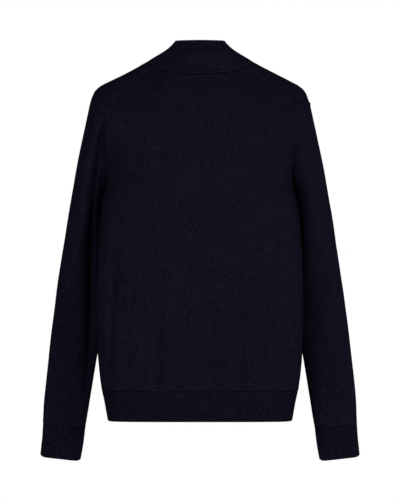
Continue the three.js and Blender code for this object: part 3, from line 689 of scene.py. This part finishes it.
def sleeve_grid(side, rows, step):
    section = lambda r, s: sleeve_points(side, r, s)
    shares = lay_out(section, rows, np.zeros(len(rows)), np.ones(len(rows)), step)
    return section(rows, shares), shares


def smoothed(points, rows, at, reach, passes, still):
    """The grid with the bend at a row eased out, except where it is held still."""
    near = fade(1 - np.abs(rows - at) / reach)[:, None] * still
    for _ in range(passes):
        middle = (points[:-2] + points[2:]) / 2
        points = points.copy()
        points[1:-1] += 0.5 * near[1:-1, :, None] * (middle - points[1:-1])
    return points


HALF_GIRTH = 180
EASE_STILL = 4  # the bend under the arms stays as it is this near a side seam
EASE_FADE = 30
EASE_ROWS = 4
EASE_PASSES = 60


def make_body(side):
    name = "back_knit" if side > 0 else "front_knit"
    shares = body_shares(side, body_rows, STEP)
    points = body_points(side, body_rows, shares)
    from_seam = np.minimum(1 - shares, 1 + shares) * HALF_GIRTH
    free = fade((from_seam - EASE_STILL) / EASE_FADE)
    if side < 0:
        free = free * fade((np.abs(points[..., 0]) - 18) / 25)
    points = smoothed(points, body_rows, TORSO_END, EASE_ROWS, EASE_PASSES, free)
    cells = np.ones((points.shape[0] - 1, points.shape[1] - 1), bool)
    if side < 0:
        middle = (points.shape[1] - 1) // 2
        above = body_rows[:-1] >= TORSO_END - TINY
        cells[np.ix_(above, range(middle - 1, middle + 2))] = False
    cloth = Cloth(name, points, JERSEY, cells)
    start, end, up, down = edge_distances(cloth)
    u = start - start[:, -1:] / 2
    calm = fade(np.minimum(start, end) / CALM) * fade(down / CALM) * fade(up / BAND_CALM)
    wave_seed, pucker_seed = SEEDS[name]
    form = undulation(wave_seed, u, up, BODY_WAVE) * calm
    form += gathers(pucker_seed, u, PUCKER_HEIGHT) * fade((16 - up) / 14) * fade(up / 3)
    if side < 0:
        form *= fade((np.abs(points[..., 0]) - 6) / 20 + (TORSO_END - body_rows[:, None]) / 1.5)
    cloth.shift(form)
    relief = seam_dips(start, end, up, down)
    if side < 0:
        beside = np.abs(points[..., 0]) - SLIT_HALF
        relief = relief + np.where(body_rows[:, None] >= TORSO_END, seam_dips(beside) * 0.8, 0)
    return cloth, relief, np.stack([u, up], -1)


def make_hem(side):
    name = "hem_back_rib" if side > 0 else "hem_front_rib"
    section = lambda r, s: body_points(side, r, s)
    one = np.ones(len(hem_rows))
    shares = lay_out(section, hem_rows, -one, one, RIB_STEP)
    cloth = Cloth(name, section(hem_rows, shares), BAND, round_first=True)
    start, end, up, down = edge_distances(cloth)
    relief = ribs(start.mean(0)[None] + 0 * start) * fade(down / 3) * fade(up / 2 + 0.4)
    relief += seam_dips(start, end, down)
    return cloth, relief, np.stack([start - start[:, -1:] / 2, up], -1)


RIB_PITCH = 2.6
RIB_HEIGHT = 0.32


def ribs(u):
    """One by one rib: rounded ridges with narrow furrows between."""
    wave = np.abs(np.sin(math.pi * u / RIB_PITCH))
    return RIB_HEIGHT * (wave**0.7 - 1)


CREASE_ROWS = (6.3, 4.95)  # the crease's row at the ridge and at the seam behind
CREASE_ROW_LENGTH = 21
CREASE_HEIGHT = {1: 2, -1: 2.6}  # left and right


def shoulder_crease(side, rows, shares):
    """The soft crease where the sleeve falls away from the shoulder, from the seam out to the ridge."""
    line = lerp(*CREASE_ROWS, fade((shares - 0.5) / 0.5))
    distance = (rows[:, None] - line) * CREASE_ROW_LENGTH
    reach = fade((shares - 0.5) / 0.08) * fade((1 - shares) / 0.03)
    return reach * CREASE_HEIGHT[side] * (bell((distance - 2) / 4) - 1.2 * bell((distance + 7) / 7))


def outer_crease(rows, shares):
    """The thin crease just behind the left sleeve's ridge."""
    line = 0.592 + 0.004 * np.sin(rows * 1.7)
    reach = fade((rows - 8.6) / 1.5) * fade((16.6 - rows) / 1.8)
    return -3.6 * reach[:, None] * bell((shares - line[:, None]) / 0.013)


def make_sleeve(side):
    hand = "left" if side > 0 else "right"
    points, shares = sleeve_grid(side, sleeve_rows, STEP * 0.85)
    welded = sleeve_rows >= UNDERARM - TINY
    cloth = Cloth(f"sleeve_{hand}_knit", points, JERSEY, welded=welded)
    start, end, up, down = edge_distances(cloth)
    middle = np.argmin(np.abs(shares - 0.5), 1)
    u = (start - start[np.arange(len(middle)), middle][:, None]) * side
    calm = fade(np.minimum(start, end) / CALM) * fade(up / CALM) * fade(down / BAND_CALM)
    wave_seed, pucker_seed = SEEDS[cloth.name]
    form = undulation(wave_seed, u, up, SLEEVE_WAVE) * calm
    form += gathers(pucker_seed, u, PUCKER_HEIGHT) * fade((14 - down) / 12) * fade(down / 3) * calm
    form += shoulder_crease(side, sleeve_rows, shares)
    if side > 0:
        form += outer_crease(sleeve_rows, shares)
    cloth.shift(form)
    relief = seam_dips(start, end, up, down)
    return cloth, relief, np.stack([u, -up], -1)


def make_cuff(side):
    hand = "left" if side > 0 else "right"
    points, _ = sleeve_grid(side, cuff_rows, RIB_STEP)
    welded = np.ones(len(cuff_rows), bool)
    cloth = Cloth(f"cuff_{hand}_rib", points, BAND, welded=welded, round_last=True)
    start, end, up, down = edge_distances(cloth)
    count = round(start[0, -1] / RIB_PITCH)
    phase = start[0] / start[0, -1] * count * RIB_PITCH
    relief = ribs(phase[None] + 0 * start) * fade(up / 3) * fade(down / 2 + 0.4)
    relief += seam_dips(up)
    return cloth, relief, np.stack([start, -up], -1)


def neck_loop(step):
    """The edge that the collar is sewn to, from the wearer's left of the zip round the back to the right."""
    top = np.array([float(BODY_TOP)])
    slit = slit_share(-1, top)[0]
    front = body_points(-1, top, np.linspace(slit, 1, NECK_SAMPLES)[None])[0]
    left = sleeve_points(1, np.zeros(1), np.linspace(0, 1, NECK_SAMPLES)[None])[0]
    back = body_points(1, top, np.linspace(1, -1, 2 * NECK_SAMPLES)[None])[0]
    half = np.concatenate([front[:-1], left[:-1], back])
    right = sleeve_points(-1, np.zeros(1), np.linspace(1, 0, NECK_SAMPLES)[None])[0]
    front_right = body_points(-1, top, np.linspace(-1, -slit, NECK_SAMPLES)[None])[0]
    line = np.concatenate([half[:-1], right[:-1], front_right])
    run = run_of(line)
    at = places(run[-1:], step)[0] * run[-1]
    return points_at(at, run, line), at / run[-1]


def collar_points(share, base, turn):
    """Points of the collar: share rises from the seam (0) to the folded edge (1)."""
    top = COLLAR_TOP
    first = math.asin(SLIT_HALF / top["half_width"])
    angle = lerp(first, 2 * math.pi - first, turn)[None]
    share = share[:, None]
    from_front = np.minimum(angle, 2 * math.pi - angle)
    facing = np.where(np.cos(angle) > 0, top["front_y"], top["back_y"])
    drop = (1 + np.cos(np.minimum(1, from_front / COLLAR_LEVEL_FROM) * math.pi)) / 2
    x = lerp(base[None, :, 0], top["half_width"] * np.sin(angle), share)
    y = lerp(base[None, :, 1], lerp(top["middle_y"], facing, np.abs(np.cos(angle))), share)
    z = lerp(base[None, :, 2], top["z"] - top["front_drop"] * drop, share)
    z = z - COLLAR_SAG * np.sin(math.pi * share**SAG_SKEW) * np.abs(np.sin(angle))
    near = fade((BUCKLE_REACH - np.abs(x)) / BUCKLE_FADE) * (np.cos(angle) < 0) * fade((1 - share) / 0.1)
    for at, width, depth in COLLAR_BUCKLES:
        y = y - depth * near * bell((share - at) / width)
    return np.stack([x, y, z], -1)


def make_collar():
    base, turn = neck_loop(RIB_STEP)
    side = lambda s: collar_points(s, base, turn)[:, len(turn) // 2]
    shares = even_rows(side, 0, 1, STEP * 1.05)
    cloth = Cloth("collar_rib", collar_points(shares, base, turn), COLLAR, round_last=True)
    start, end, up, down = edge_distances(cloth)
    level = start.mean(0)[None] + 0 * start
    relief = ribs(level) * fade(up / 3) * fade(down / 2 + 0.4) * fade(np.minimum(start, end) / 2)
    relief += seam_dips(up)
    return cloth, relief, np.stack([start - start[:, -1:] / 2, up], -1)


def tube(line, normals, radius, step, bead=0.0, bead_length=2.2, sides=6, flat=0.75):
    """A yarn along a line that lies on the cloth, as points and faces."""
    run = run_of(line)
    count = max(3, int(run[-1] / step))
    at = np.linspace(0, run[-1], count)
    centre = points_at(at, run, line)
    out = unit(points_at(at, run, normals))
    way = unit(np.gradient(centre, axis=0))
    across = unit(np.cross(way, out))
    size = radius * (1 + bead * np.cos(2 * math.pi * at / bead_length))
    size[[0, -1]] *= 0.3
    turn = np.arange(sides) * 2 * math.pi / sides
    ring = (
        across[:, None] * np.cos(turn)[None, :, None]
        + out[:, None] * flat * np.sin(turn)[None, :, None]
    ) * size[:, None, None]
    points = (centre[:, None] + ring).reshape(-1, 3)
    i = np.arange(count - 1)[:, None] * sides
    k = np.arange(sides)[None]
    after = (k + 1) % sides
    faces = np.stack([i + k, i + after, i + sides + after, i + sides + k], -1).reshape(-1, 4)
    return points, faces


def joined(parts):
    """Several lots of points and faces as one."""
    points, faces, start = [], [], 0
    for p, f in parts:
        points.append(p)
        faces.append(f + start)
        start += len(p)
    return np.concatenate(points), np.concatenate(faces)


made = [make_body(1), make_body(-1), make_sleeve(1), make_sleeve(-1), make_collar()]
made += [make_hem(1), make_hem(-1), make_cuff(1), make_cuff(-1)]
cloths = [m[0] for m in made]
shared = share_normals(cloths)


# Materials
class Graph:
    """The nodes of a material or of the world, with a method for each kind of node used here."""

    def __init__(self, tree):
        self.nodes, self.links = tree.nodes, tree.links

    def give(self, socket, value):
        """Links a socket to another node's output, or sets it to a number or a colour."""
        if isinstance(value, bpy.types.NodeSocket):
            self.links.new(value, socket)
        else:
            socket.default_value = (*value, 1) if isinstance(value, tuple) else value

    def give_all(self, node, values):
        for name, value in values.items():
            self.give(node.inputs[name], value)

    def math(self, operation, *inputs):
        node = self.nodes.new("ShaderNodeMath")
        node.operation = operation
        for socket, value in zip(node.inputs, inputs):
            self.give(socket, value)
        return node.outputs[0]

    def noise(self, where, scale, detail=2.0, roughness=0.5):
        node = self.nodes.new("ShaderNodeTexNoise")
        self.give_all(node, {"Vector": where, "Scale": scale, "Detail": detail, "Roughness": roughness})
        return node.outputs["Fac"]

    def mix(self, factor, low, high):
        node = self.nodes.new("ShaderNodeMix")
        node.data_type = "RGBA"
        node.clamp_factor = True
        for place, value in ((0, factor), (6, low), (7, high)):  # its sockets for colours
            self.give(node.inputs[place], value)
        return node.outputs[2]

    def spread(self, value, low, high, to_low=0.0, to_high=1.0):
        node = self.nodes.new("ShaderNodeMapRange")
        node.interpolation_type = "SMOOTHSTEP"
        ends = {"Value": value, "From Min": low, "From Max": high, "To Min": to_low, "To Max": to_high}
        self.give_all(node, ends)
        return node.outputs["Result"]


class Material(Graph):
    """A material with its Principled shader."""

    def __init__(self, name, roughness, metallic=0.0, specular=0.5):
        self.whole = bpy.data.materials.new(name)
        self.whole.use_nodes = True
        super().__init__(self.whole.node_tree)
        self.shader = self.nodes["Principled BSDF"]
        self.shade({"Roughness": roughness, "Metallic": metallic, "Specular IOR Level": specular})

    def shade(self, values):
        self.give_all(self.shader, values)

    def place(self):
        return self.nodes.new("ShaderNodeTexCoord").outputs["Object"]

    def bump(self, height, distance, strength):
        node = self.nodes.new("ShaderNodeBump")
        self.give_all(node, {"Distance": distance, "Strength": strength, "Height": height})
        self.shade({"Normal": node.outputs["Normal"]})

    def yarn(self, where, dark, light):
        """Navy yarn spun from darker and lighter fibres, with slow changes over a hand's breadth."""
        flecks = self.spread(self.noise(where, 420, 5, 0.8), 0.36, 0.64)
        slow = self.spread(self.noise(where, 16, 2), 0.3, 0.7, 0.47, 0.53)
        share = self.math("MULTIPLY_ADD", flecks, 0.9, self.math("SUBTRACT", slow, 0.45))
        return self.mix(share, dark, light)

    def knit(self, wale, course):
        """The height of plain knit: two slanting legs for each stitch, in upright wales."""
        uv = self.nodes.new("ShaderNodeUVMap")
        uv.uv_map = "Cloth"
        split = self.nodes.new("ShaderNodeSeparateXYZ")
        self.give(split.inputs[0], uv.outputs[0])
        m = self.math
        across = m("MULTIPLY", split.outputs[0], 1 / wale)
        up = m("MULTIPLY", split.outputs[1], 1 / course)
        place = m("ABSOLUTE", m("SUBTRACT", m("FRACT", across), 0.5))
        leg = m("COSINE", m("MULTIPLY", m("MULTIPLY_ADD", place, 1.5, up), 2 * math.pi))
        crown = m("SINE", m("MULTIPLY", m("FRACT", m("MULTIPLY", across, 2.0)), math.pi))
        return m("MULTIPLY", m("MULTIPLY_ADD", leg, 0.3, 0.7), m("POWER", crown, 0.6))


def cloth_material(name, dark, light, wale, course):
    m = Material(name, 0.97, specular=0.0)
    where = m.place()
    height = m.knit(wale, course)
    # painted shade: the hollows between the stitch legs are drawn darker
    hollow_painted_shade = tuple(c * 0.55 for c in dark)
    colour = m.mix(m.spread(height, 0.0, 0.5), hollow_painted_shade, m.yarn(where, dark, light))
    fuzz = m.noise(where, 2600, 3, 0.7)
    m.bump(m.math("MULTIPLY_ADD", fuzz, 0.7, height), KNIT_RELIEF, 0.6)
    m.shade({"Base Color": colour, "Sheen Weight": 0.002, "Sheen Roughness": 0.6})
    m.shade({"Sheen Tint": (0.25, 0.28, 0.5)})
    return m.whole


def yarn_material(name, dark, light):
    """The plied yarn of seams and stitches."""
    m = Material(name, 0.95, specular=0.0)
    where = m.place()
    m.shade({"Base Color": m.yarn(where, dark, light)})
    m.bump(m.noise(where, 3000, 3, 0.7), 0.0002, 0.6)
    return m.whole


def tape_material(name):
    """Woven zip tape."""
    m = Material(name, 0.85, specular=0.1)
    height = m.knit(*TAPE_WEAVE)
    colour = m.yarn(m.place(), (0.004, 0.004, 0.008), (0.008, 0.008, 0.015))
    # painted shade: the hollows of the weave are drawn darker
    m.shade({"Base Color": m.mix(height, (0.002, 0.002, 0.004), colour)})
    m.bump(height, 0.00025, 0.7)
    return m.whole


def metal_material(name, colour, worn, roughness):
    """Dark plated metal, brighter where edges have rubbed, with an uneven gloss."""
    m = Material(name, roughness, metallic=1.0)
    where = m.place()
    cloudy = m.spread(m.noise(where, 300, 4, 0.6), 0.35, 0.7)
    edge = m.spread(m.nodes.new("ShaderNodeNewGeometry").outputs["Pointiness"], 0.52, 0.62)
    rubbed = m.math("MAXIMUM", edge, m.math("MULTIPLY", cloudy, 0.25))
    gloss = m.spread(m.noise(where, 900, 3, 0.6), 0.3, 0.7, roughness - 0.08, roughness + 0.12)
    m.shade({"Base Color": m.mix(rubbed, colour, worn), "Roughness": gloss})
    m.bump(m.noise(where, 4000, 2), 0.00004, 0.4)
    return m.whole


NAVY_DARK = (0.0023, 0.0022, 0.0047)
NAVY_LIGHT = (0.0164, 0.0152, 0.032)
BAND_PAINTED_SHADE = 0.87  # painted shade: the bands are drawn darker to stand in for the light falling off towards the hem and cuffs
BODY_STITCH = (0.0017, 0.0013)  # width and height
RIB_STITCH = (0.0013, 0.0013)
TAPE_WEAVE = (0.0009, 0.0008)
KNIT_RELIEF = 0.00035
jersey = cloth_material("navy_jersey", NAVY_DARK, NAVY_LIGHT, *BODY_STITCH)
collar_knit = cloth_material("navy_collar_rib", NAVY_DARK, NAVY_LIGHT, *RIB_STITCH)
# the bands' yarn colours, darkened by the painted shade
band_dark, band_light = (tuple(c * BAND_PAINTED_SHADE for c in colour) for colour in (NAVY_DARK, NAVY_LIGHT))
band_knit = cloth_material("navy_band_rib", band_dark, band_light, *RIB_STITCH)
linking = yarn_material("navy_linking", (0.0095, 0.0092, 0.017), (0.018, 0.017, 0.031))
sunk_yarn = yarn_material("navy_sunk_yarn", (0.0012, 0.0011, 0.0022), (0.0026, 0.0025, 0.005))
thread = yarn_material("navy_thread", (0.010, 0.0095, 0.018), (0.018, 0.017, 0.030))
tape_cloth = tape_material("zip_tape_weave")
gunmetal = metal_material("gunmetal", (0.055, 0.056, 0.062), (0.22, 0.22, 0.235), 0.36)


def finish_piece(obj, material, body="garment", replaces=()):
    obj.data.materials.clear()
    obj.data.materials.append(material)
    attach(obj, body)
    if replaces:
        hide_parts(*replaces)
    return obj


# Knitted pieces
for (cloth, relief, uv), normals in zip(made, shared):
    points, faces, corner_uv = wall(cloth, normals, relief, uv.reshape(-1, 2))
    obj = new_object(cloth.name, points, faces, corner_uv)
    ribbed = cloth.name.endswith("_rib")
    knit = jersey if not ribbed else collar_knit if cloth.name == "collar_rib" else band_knit
    finish_piece(obj, knit, replaces=[cloth.name.rsplit("_", 1)[0]])


# Seams
LINK = {"radius": 0.52, "step": 1.1, "bead": 0.22}


def seam_line(cloth, normals, rows, columns, lift=0.0):
    out = normals.reshape(*cloth.shape, 3)[rows, columns]
    return cloth.points[rows, columns] + out * lift, out


def linked(line, out, **changes):
    style = {**LINK, **changes}
    return tube(line - out * 0.12, out, style["radius"], style["step"], style["bead"])


named = {cloth.name: (cloth, normals) for cloth, normals in zip(cloths, shared)}
back, front = named["back_knit"], named["front_knit"]
collar = named["collar_rib"]
upper = np.flatnonzero(body_rows >= TORSO_END - TINY)
everything = slice(None)
links = []
for column in (0, -1):
    links.append(linked(*seam_line(*back, everything, column)))
    links.append(linked(*seam_line(*front, upper, column)))
    links.append(linked(*seam_line(*named["hem_back_rib"], everything, column)))
sunk_links = [linked(*seam_line(*piece, 0, everything, lift=-0.3), radius=0.45) for piece in (back, front)]
sunk_links.append(linked(*seam_line(*collar, 0, everything, lift=-0.1), radius=0.8))
links.append(linked(*seam_line(*collar, 2, everything), radius=0.5))
for hand in ("left", "right"):
    sleeve = named[f"sleeve_{hand}_knit"]
    tubular = np.flatnonzero(sleeve_rows >= UNDERARM - TINY)
    links.append(linked(*seam_line(*sleeve, tubular, 0)))
    sunk_links.append(linked(*seam_line(*sleeve, -1, everything, lift=-0.3), radius=0.45))
    links.append(linked(*seam_line(*named[f"cuff_{hand}_rib"], everything, 0)))
finish_piece(new_object("seam_linking", *joined(links)), linking)
finish_piece(new_object("band_linking", *joined(sunk_links)), sunk_yarn)


# Zip
def zip_ground():
    """The cloth's outer face beside the zip on the wearer's left, from the collar's edge down."""
    base, turn = neck_loop(1.0)
    reach = np.linalg.norm(np.diff(base, axis=0), axis=1).cumsum()
    width = (TAPE_EDGE - SLIT_HALF) * 1.03
    turns = np.linspace(0, width / reach[-1], 6)
    near = points_at(turns, turn, base)
    high = collar_points(np.linspace(1, 0, 34), near, turns)
    rows = BODY_TOP - np.linspace(0, UNDERARM, 76)[1:]
    shares = np.stack([slit_share(-1, rows, x) for x in np.linspace(SLIT_HALF, TAPE_EDGE, 6)], 1)
    low = body_points(-1, rows, shares)
    depth = np.concatenate([np.full(len(high), COLLAR), np.full(len(low), JERSEY)]) + SEAM_GAP
    return np.concatenate([high, low]), depth


def zip_directions(ground):
    """Along the zip and out from the chest, for each row, in the middle plane."""
    line = ground[:, 0] * (0, 1, 1)
    down = unit(np.gradient(line, axis=0))
    out = np.stack([np.zeros(len(line)), down[:, 2], -down[:, 1]], -1)
    return line, down, out


ground, zip_depth = zip_ground()
zip_line, zip_down, zip_out = zip_directions(ground)


def make_tape(side):
    own = unit(np.cross(np.gradient(ground, axis=1), np.gradient(ground, axis=0)))
    own *= np.sign(np.einsum("ijk,ik->ij", own, zip_out))[..., None]
    lean = own.copy()
    lean[:, 0] = zip_out
    behind = ground - lean * zip_depth[:, None, None]
    inner = behind[:, :1].copy()
    inner[..., 0] = CHAIN_HALF + SEAM_GAP
    points = np.concatenate([inner, behind], 1) * (side, 1, 1)
    hand = "left" if side > 0 else "right"
    cloth = Cloth(f"zip_tape_{hand}_weave", points, TAPE_THICK, facing=(0, -1, 0.2))
    across, up = cloth.runs()
    flat = np.zeros(cloth.shape)
    uv = np.stack([across, up], -1).reshape(-1, 2)
    return new_object(cloth.name, *wall(cloth, cloth.normals(), flat, uv))


for side, hand in ((1, "left"), (-1, "right")):
    tape = make_tape(side)
    finish_piece(tape, tape_cloth, replaces=[f"zip_tape_{hand}"])

TOOTH_PITCH = 2.6
# The outline of a tooth on the wearer's left, from its root to its head: x, and half its height.
TOOTH = [(2.6, 0.78), (1.1, 0.62), (0.55, 0.42), (0.1, 0.52), (-0.5, 0.5), (-0.9, 0.22)]
TOOTH_LAYERS = [(-1.08, 0.8), (-0.82, 1.0), (0.82, 1.0), (1.08, 0.8)]  # out from the middle, and size


def tooth_shape():
    outline = TOOTH + [(x, -h) for x, h in reversed(TOOTH)]
    middle_x = 0.85
    rings = [
        [((x - middle_x) * size + middle_x, out, h * size) for x, h in outline] for out, size in TOOTH_LAYERS
    ]
    count = len(outline)
    quads = []
    for layer in range(len(rings) - 1):
        for k in range(count):
            after = (k + 1) % count
            low, high = layer * count, (layer + 1) * count
            quads.append((low + k, low + after, high + after, high + k))
    last = (len(rings) - 1) * count
    for k in range(count // 2 - 1):
        quads.append((k + 1, k, count - 1 - k, count - 2 - k))
        quads.append((last + k, last + k + 1, last + count - 2 - k, last + count - 1 - k))
    return np.array(rings).reshape(-1, 3), np.array(quads)


def make_teeth():
    run = run_of(zip_line)
    at = lambda values, s: points_at(s, run, values)
    shape, quads = tooth_shape()
    parts = []
    first = SLIDER_REACH + 0.9
    count = int((run[-1] - STOP_LENGTH - 0.9 - first) / (TOOTH_PITCH / 2)) + 1
    for n in range(count):
        s = first + n * TOOTH_PITCH / 2
        side = 1 if n % 2 else -1
        down, out = unit(at(zip_down, s)), unit(at(zip_out, s))
        depth = np.interp(s, run, zip_depth) + CHAIN_FRONT + CHAIN_THICK / 2
        centre = at(zip_line, s) * (0, 1, 1) - out * depth
        x, o, d = shape.T
        points = centre + np.outer(x * side, (1, 0, 0)) + np.outer(o, out) + np.outer(d, down)
        parts.append((points, quads[:, ::side]))
    return new_object("zip_teeth", *joined(parts), smooth=False)


teeth = make_teeth()
finish_piece(teeth, gunmetal, replaces=["zip_chain"])

# Stitches that hold the tapes to the slit's edges and to the collar's ends
TOPSTITCH = {"radius": 0.3, "step": 0.42, "bead": 0.8, "bead_length": 2.8, "sides": 5}
slit_columns = [front[0].shape[1] // 2 - 5, front[0].shape[1] // 2 + 4]
stitches = []
for column in slit_columns:
    line, out = seam_line(*front, upper, column, lift=0.08)
    stitches.append(tube(line, out, **TOPSTITCH))
for column in (3, -4):
    line, out = seam_line(*collar, everything, column, lift=0.12)
    stitches.append(tube(line[1:-1], out[1:-1], **TOPSTITCH))
below = upper[0] - 2
line, out = seam_line(*front, below, slice(slit_columns[0], slit_columns[1] + 1), lift=0.08)
stitches.append(tube(line, out, **TOPSTITCH))
topstitch = new_object("zip_topstitch", *joined(stitches))
finish_piece(topstitch, thread)

for name in ("zip_slider", "zip_pull_tab", "zip_bottom_stop"):
    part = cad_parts[name]
    part.data.materials.clear()
    part.data.materials.append(gunmetal)
    bevel = part.modifiers.new("soft_edges", "BEVEL")
    bevel.width = 0.00028
    bevel.segments = 2
    bevel.limit_method = "ANGLE"
    bevel.angle_limit = math.radians(40)
    bevel.harden_normals = True

# Camera, floor and light
EYE = 12.0  # distance behind the sweater, which keeps its sides square as in the photo
VIEW_HEIGHT = 0.94
VIEW_CENTRE_Z = -0.3544
camera_data = bpy.data.cameras.new("camera")
camera_data.sensor_width = 36
camera_data.lens = 36 * EYE / VIEW_HEIGHT
camera_data.clip_end = 60
camera = placed("camera", camera_data)
camera.location = (0, EYE, VIEW_CENTRE_Z)
camera.rotation_euler = (math.radians(90), 0, math.radians(180))
bpy.context.scene.camera = camera

FLOOR_Z = -1.45
FLOOR_RADIUS = 4.0
turns = np.linspace(0, 2 * math.pi, 97)[:-1]
rim = np.stack([np.cos(turns), np.sin(turns), 0 * turns], -1) * FLOOR_RADIUS + (0, 0, FLOOR_Z)
floor_mesh = bpy.data.meshes.new("floor")
floor_mesh.from_pydata([tuple(p) for p in rim], [], [tuple(range(len(rim)))])
floor = placed("floor", floor_mesh)
floor_paint = Material("floor_paint", 0.9, specular=0.1)
floor_paint.shade({"Base Color": (0.86, 0.86, 0.86)})
floor_mesh.materials.append(floor_paint.whole)

AROUND = 1.0  # white all round at eye level
ELSEWHERE = 0.14  # dimmer overhead and underfoot, as with lamps at the sides only
LEVEL_BAND = (0.05, 0.12)  # sines of the elevations between which it fades
world = bpy.data.worlds.new("studio")
world.use_nodes = True
bpy.context.scene.world = world
sky = Graph(world.node_tree)
split = sky.nodes.new("ShaderNodeSeparateXYZ")
sky.give(split.inputs[0], sky.nodes.new("ShaderNodeTexCoord").outputs["Generated"])
elevation = sky.math("ABSOLUTE", split.outputs[2])
brightness = sky.spread(elevation, *LEVEL_BAND, AROUND, ELSEWHERE)
sky.give_all(sky.nodes["Background"], {"Strength": brightness, "Color": (1, 1, 1)})


def softbox(name, place, aim, size, power):
    data = bpy.data.lights.new(name, "AREA")
    data.shape = "SQUARE"
    data.size = size
    data.energy = power
    lamp = placed(name, data)
    lamp.location = place
    lamp.rotation_euler = (Vector(aim) - Vector(place)).to_track_quat("-Z", "Y").to_euler()


MIDDLE = (0, 0, -0.35)
for face, way in (("back", 1), ("chest", -1)):
    softbox(f"{face}_key", (-2.5, 2.5 * way, 0.45), MIDDLE, 1.0, 42)
    softbox(f"{face}_fill", (0.9, 2.2 * way, 0.4), MIDDLE, 1.0, 20)

bpy.context.scene.view_settings.view_transform = "Standard"
